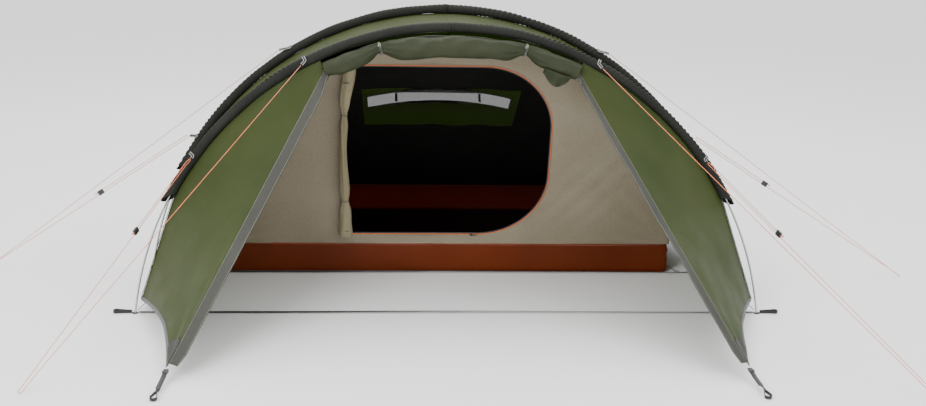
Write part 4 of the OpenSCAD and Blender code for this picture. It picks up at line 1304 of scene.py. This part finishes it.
def makeCornerStraps(settings):
    made = 0
    for node, foot, y in (("front_corner_straps", (1.062, -1.253, 0.042), (1.085, -1.446)),
                          ("rear_corner_straps", (1.002, 1.363, 0.031), (1.020, 1.446))):
        for side in (-1, 1):
            start = np.array(foot) * (side, 1, 1)
            peg = np.array([y[0] * side, y[1], 0.009])
            end = peg + 0.036 * unit(start - peg)
            path = resample([start, lerp(start, end, 0.35) - (0, 0, 0.004), end], 70)
            twist = np.pi / 2 * smooth(np.linspace(0, 1, 70), 0.72, 1.0)
            strap = ribbon("cornerStrap%d" % made, path, settings["wide"], settings["thickness"], blackWeb,
                           twist=twist, slot="black_webbing")
            if made % 2 == 0:
                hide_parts(node)
            loop = resample(pegLoopPath(peg, end, settings["loop"]), 90)
            ribbon("cornerLoop" + str(made), loop, settings["width"] * 0.9, settings["thickness"],
                   blackWeb, up=(0.02, 0.01, 1),
                   twist=np.pi / 2, slot="black_webbing")
            across = np.cross(end - start, (0, 0, 1))
            block("cornerLadder" + str(made), start + (end - start) * 0.12, (0.024, 0.006, 0.020),
                  [unit(across), unit(np.cross(across, end - start)), unit(end - start)],
                  blackPlastic, 4, slot="black_plastic")
            made += 1


makeFeet(webSettings)
makeCornerStraps(webSettings)


def makeCornerPatches():
    # Dark reinforcements that follow the wings and the rear panel at their peg corners
    for name, (points, normals) in wings.items():
        u, v = points.shape[0] - 1, points.shape[1] - 1
        part = points[u - 10:, v - 9:] + 0.0016 * normals[u - 10:, v - 9:]
        columns, rows = np.meshgrid(np.arange(part.shape[0] - 1), np.arange(part.shape[1] - 1), indexing="ij")
        keep = columns + 1.1 * rows > 6
        gridPiece("cornerPatch" + name.capitalize(), part, patchCloth, 0.0008, keep=keep,
                              inside=tentMiddle, slot="black_webbing")
    for side in (-1, 1):
        part = rearGrid(side * np.linspace(53.5, 58, 12), np.linspace(0.935, 0.998, 12))[2]
        part = part + 0.0026 * gridNormals(part) * outSign(part)
        gridPiece("rearPatch" + ("Left" if side < 0 else "Right"), part, patchCloth, 0.0008,
                              inside=tentMiddle, slot="black_webbing")
    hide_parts("corner_patches")


patchCloth = clothMaterial("patchCloth", (0.050, 0.052, 0.046), (0.035, 0.037, 0.033), 500, 0, 0.6, 0.0)
makeCornerPatches()

# Tabs of webbing that wrap round the sleeves and hold the guylines, with a pale stripe along each edge
tabSettings = {
    "tabFrontUpper": ("front", 27.5, (0.608, -0.3505, 0.999)),
    "tabFrontMiddle": ("front", 54.0, (1.046, -0.416, 0.626)),
    "tabRearUpper": ("rear", 31.5, (0.728, 0.230, 0.9655)),
    "tabRearMiddle": ("rear", 56.5, (1.115, 0.162, 0.594)),
}


def makeTabs(settings):
    first = None
    for name, (hoop, angle, end) in settings.items():
        footY = frontFootY if hoop == "front" else rearFootY
        for label, side in (("Left", -1), ("Right", 1)):
            mirror = np.array([side, 1, 1])
            t = np.linspace(-2.6, 0.9 if hoop == "rear" else 1.35, 40)
            wrap = hoopPoint(footY, np.full(40, angle), hoopShape["radius"] + 0.0235 * np.cos(t))
            wrap = wrap + (0.0205 * np.sin(t))[:, None] * hoopNormal
            middle = hoopPoint(footY, np.full(40, angle), hoopShape["radius"])
            outward = unit(wrap - middle)
            tail = lerp(wrap[-1], np.array(end), np.linspace(0.1, 1, 24)[:, None])
            path = np.concatenate([wrap, tail]) * mirror
            ups = np.concatenate([outward, np.broadcast_to(outward[-1], (24, 3))]) * mirror
            tab = ribbon(name + label, path, 0.014, 0.0016, blackWeb, up=ups, slot="black_webbing")
            edgeward = unit(np.cross(unit(np.gradient(path, axis=0)), ups))
            for k in (-1, 1):
                stripe = path + edgeward * 0.0042 * k + unit(ups) * 0.0009
                ribbon(name + label + ("StripeA" if k < 0 else "StripeB"), stripe, 0.0016, 0.0007,
                       stripeWeb, up=ups, slot="black_webbing")
            first = first or tab
    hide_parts("guy_tabs")


makeTabs(tabSettings)


# Thin elastics on the right side, mirrored to the left: points, corner radius, count of points, cord radius
elasticSettings = {
    "frontElastic": ([(1.010, 0.074, 0.030), (1.030, 0.071, 0.019), (1.0495, 0.0665, 0.008)], 0.004, 30,
                     0.0017),
    "rearElastic": ([(0.852, 1.168, 0.027), (0.91, 1.225, 0.028), (0.955, 1.262, 0.029)], 0.01, 40, 0.0017),
    "footElastic": ([(1.18, -0.500, 0.075), (1.235, -0.502, 0.045), (1.268, -0.500, 0.012)], 0.01, 30,
                    0.0015),
}


def makeElastics(settings):
    for label, side in (("Left", -1), ("Right", 1)):
        for name, (points, bend, count, radius) in settings.items():
            path = resample(roundCorners([(side * x, y, z) for x, y, z in points], bend), count)
            tube(name + label, path, radius, blackCord, 10, slot="shock_elastic")
    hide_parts("corner_elastics")


makeElastics(elasticSettings)
print("webbing made")

# The pieces that keep their own shape get their finishes
finishes = {
    "front_pole_sections": poleMetal, "rear_pole_sections": poleMetal,
    "front_pole_ferrules": poleMetal, "rear_pole_ferrules": poleMetal,
    "front_shock_cord": blackCord, "rear_shock_cord": blackCord,
    "guy_slider_front_left": blackPlastic, "guy_slider_front_right": blackPlastic,
    "guy_slider_rear_left": blackPlastic, "guy_slider_rear_right": blackPlastic,
    "foot_cups": blackPlastic, "vent_struts": blackPlastic, "inner_door_toggles": blackPlastic,
    "hanging_toggles": blackPlastic, "pole_tips": creamPlastic, "corner_rings": ringMetal,
}
for node, material in finishes.items():
    piece = frame["nodes"][node]
    if not piece.material_slots:
        piece.data.materials.append(material)
    for materialSlot in piece.material_slots:
        materialSlot.material = material

print("scene finished")
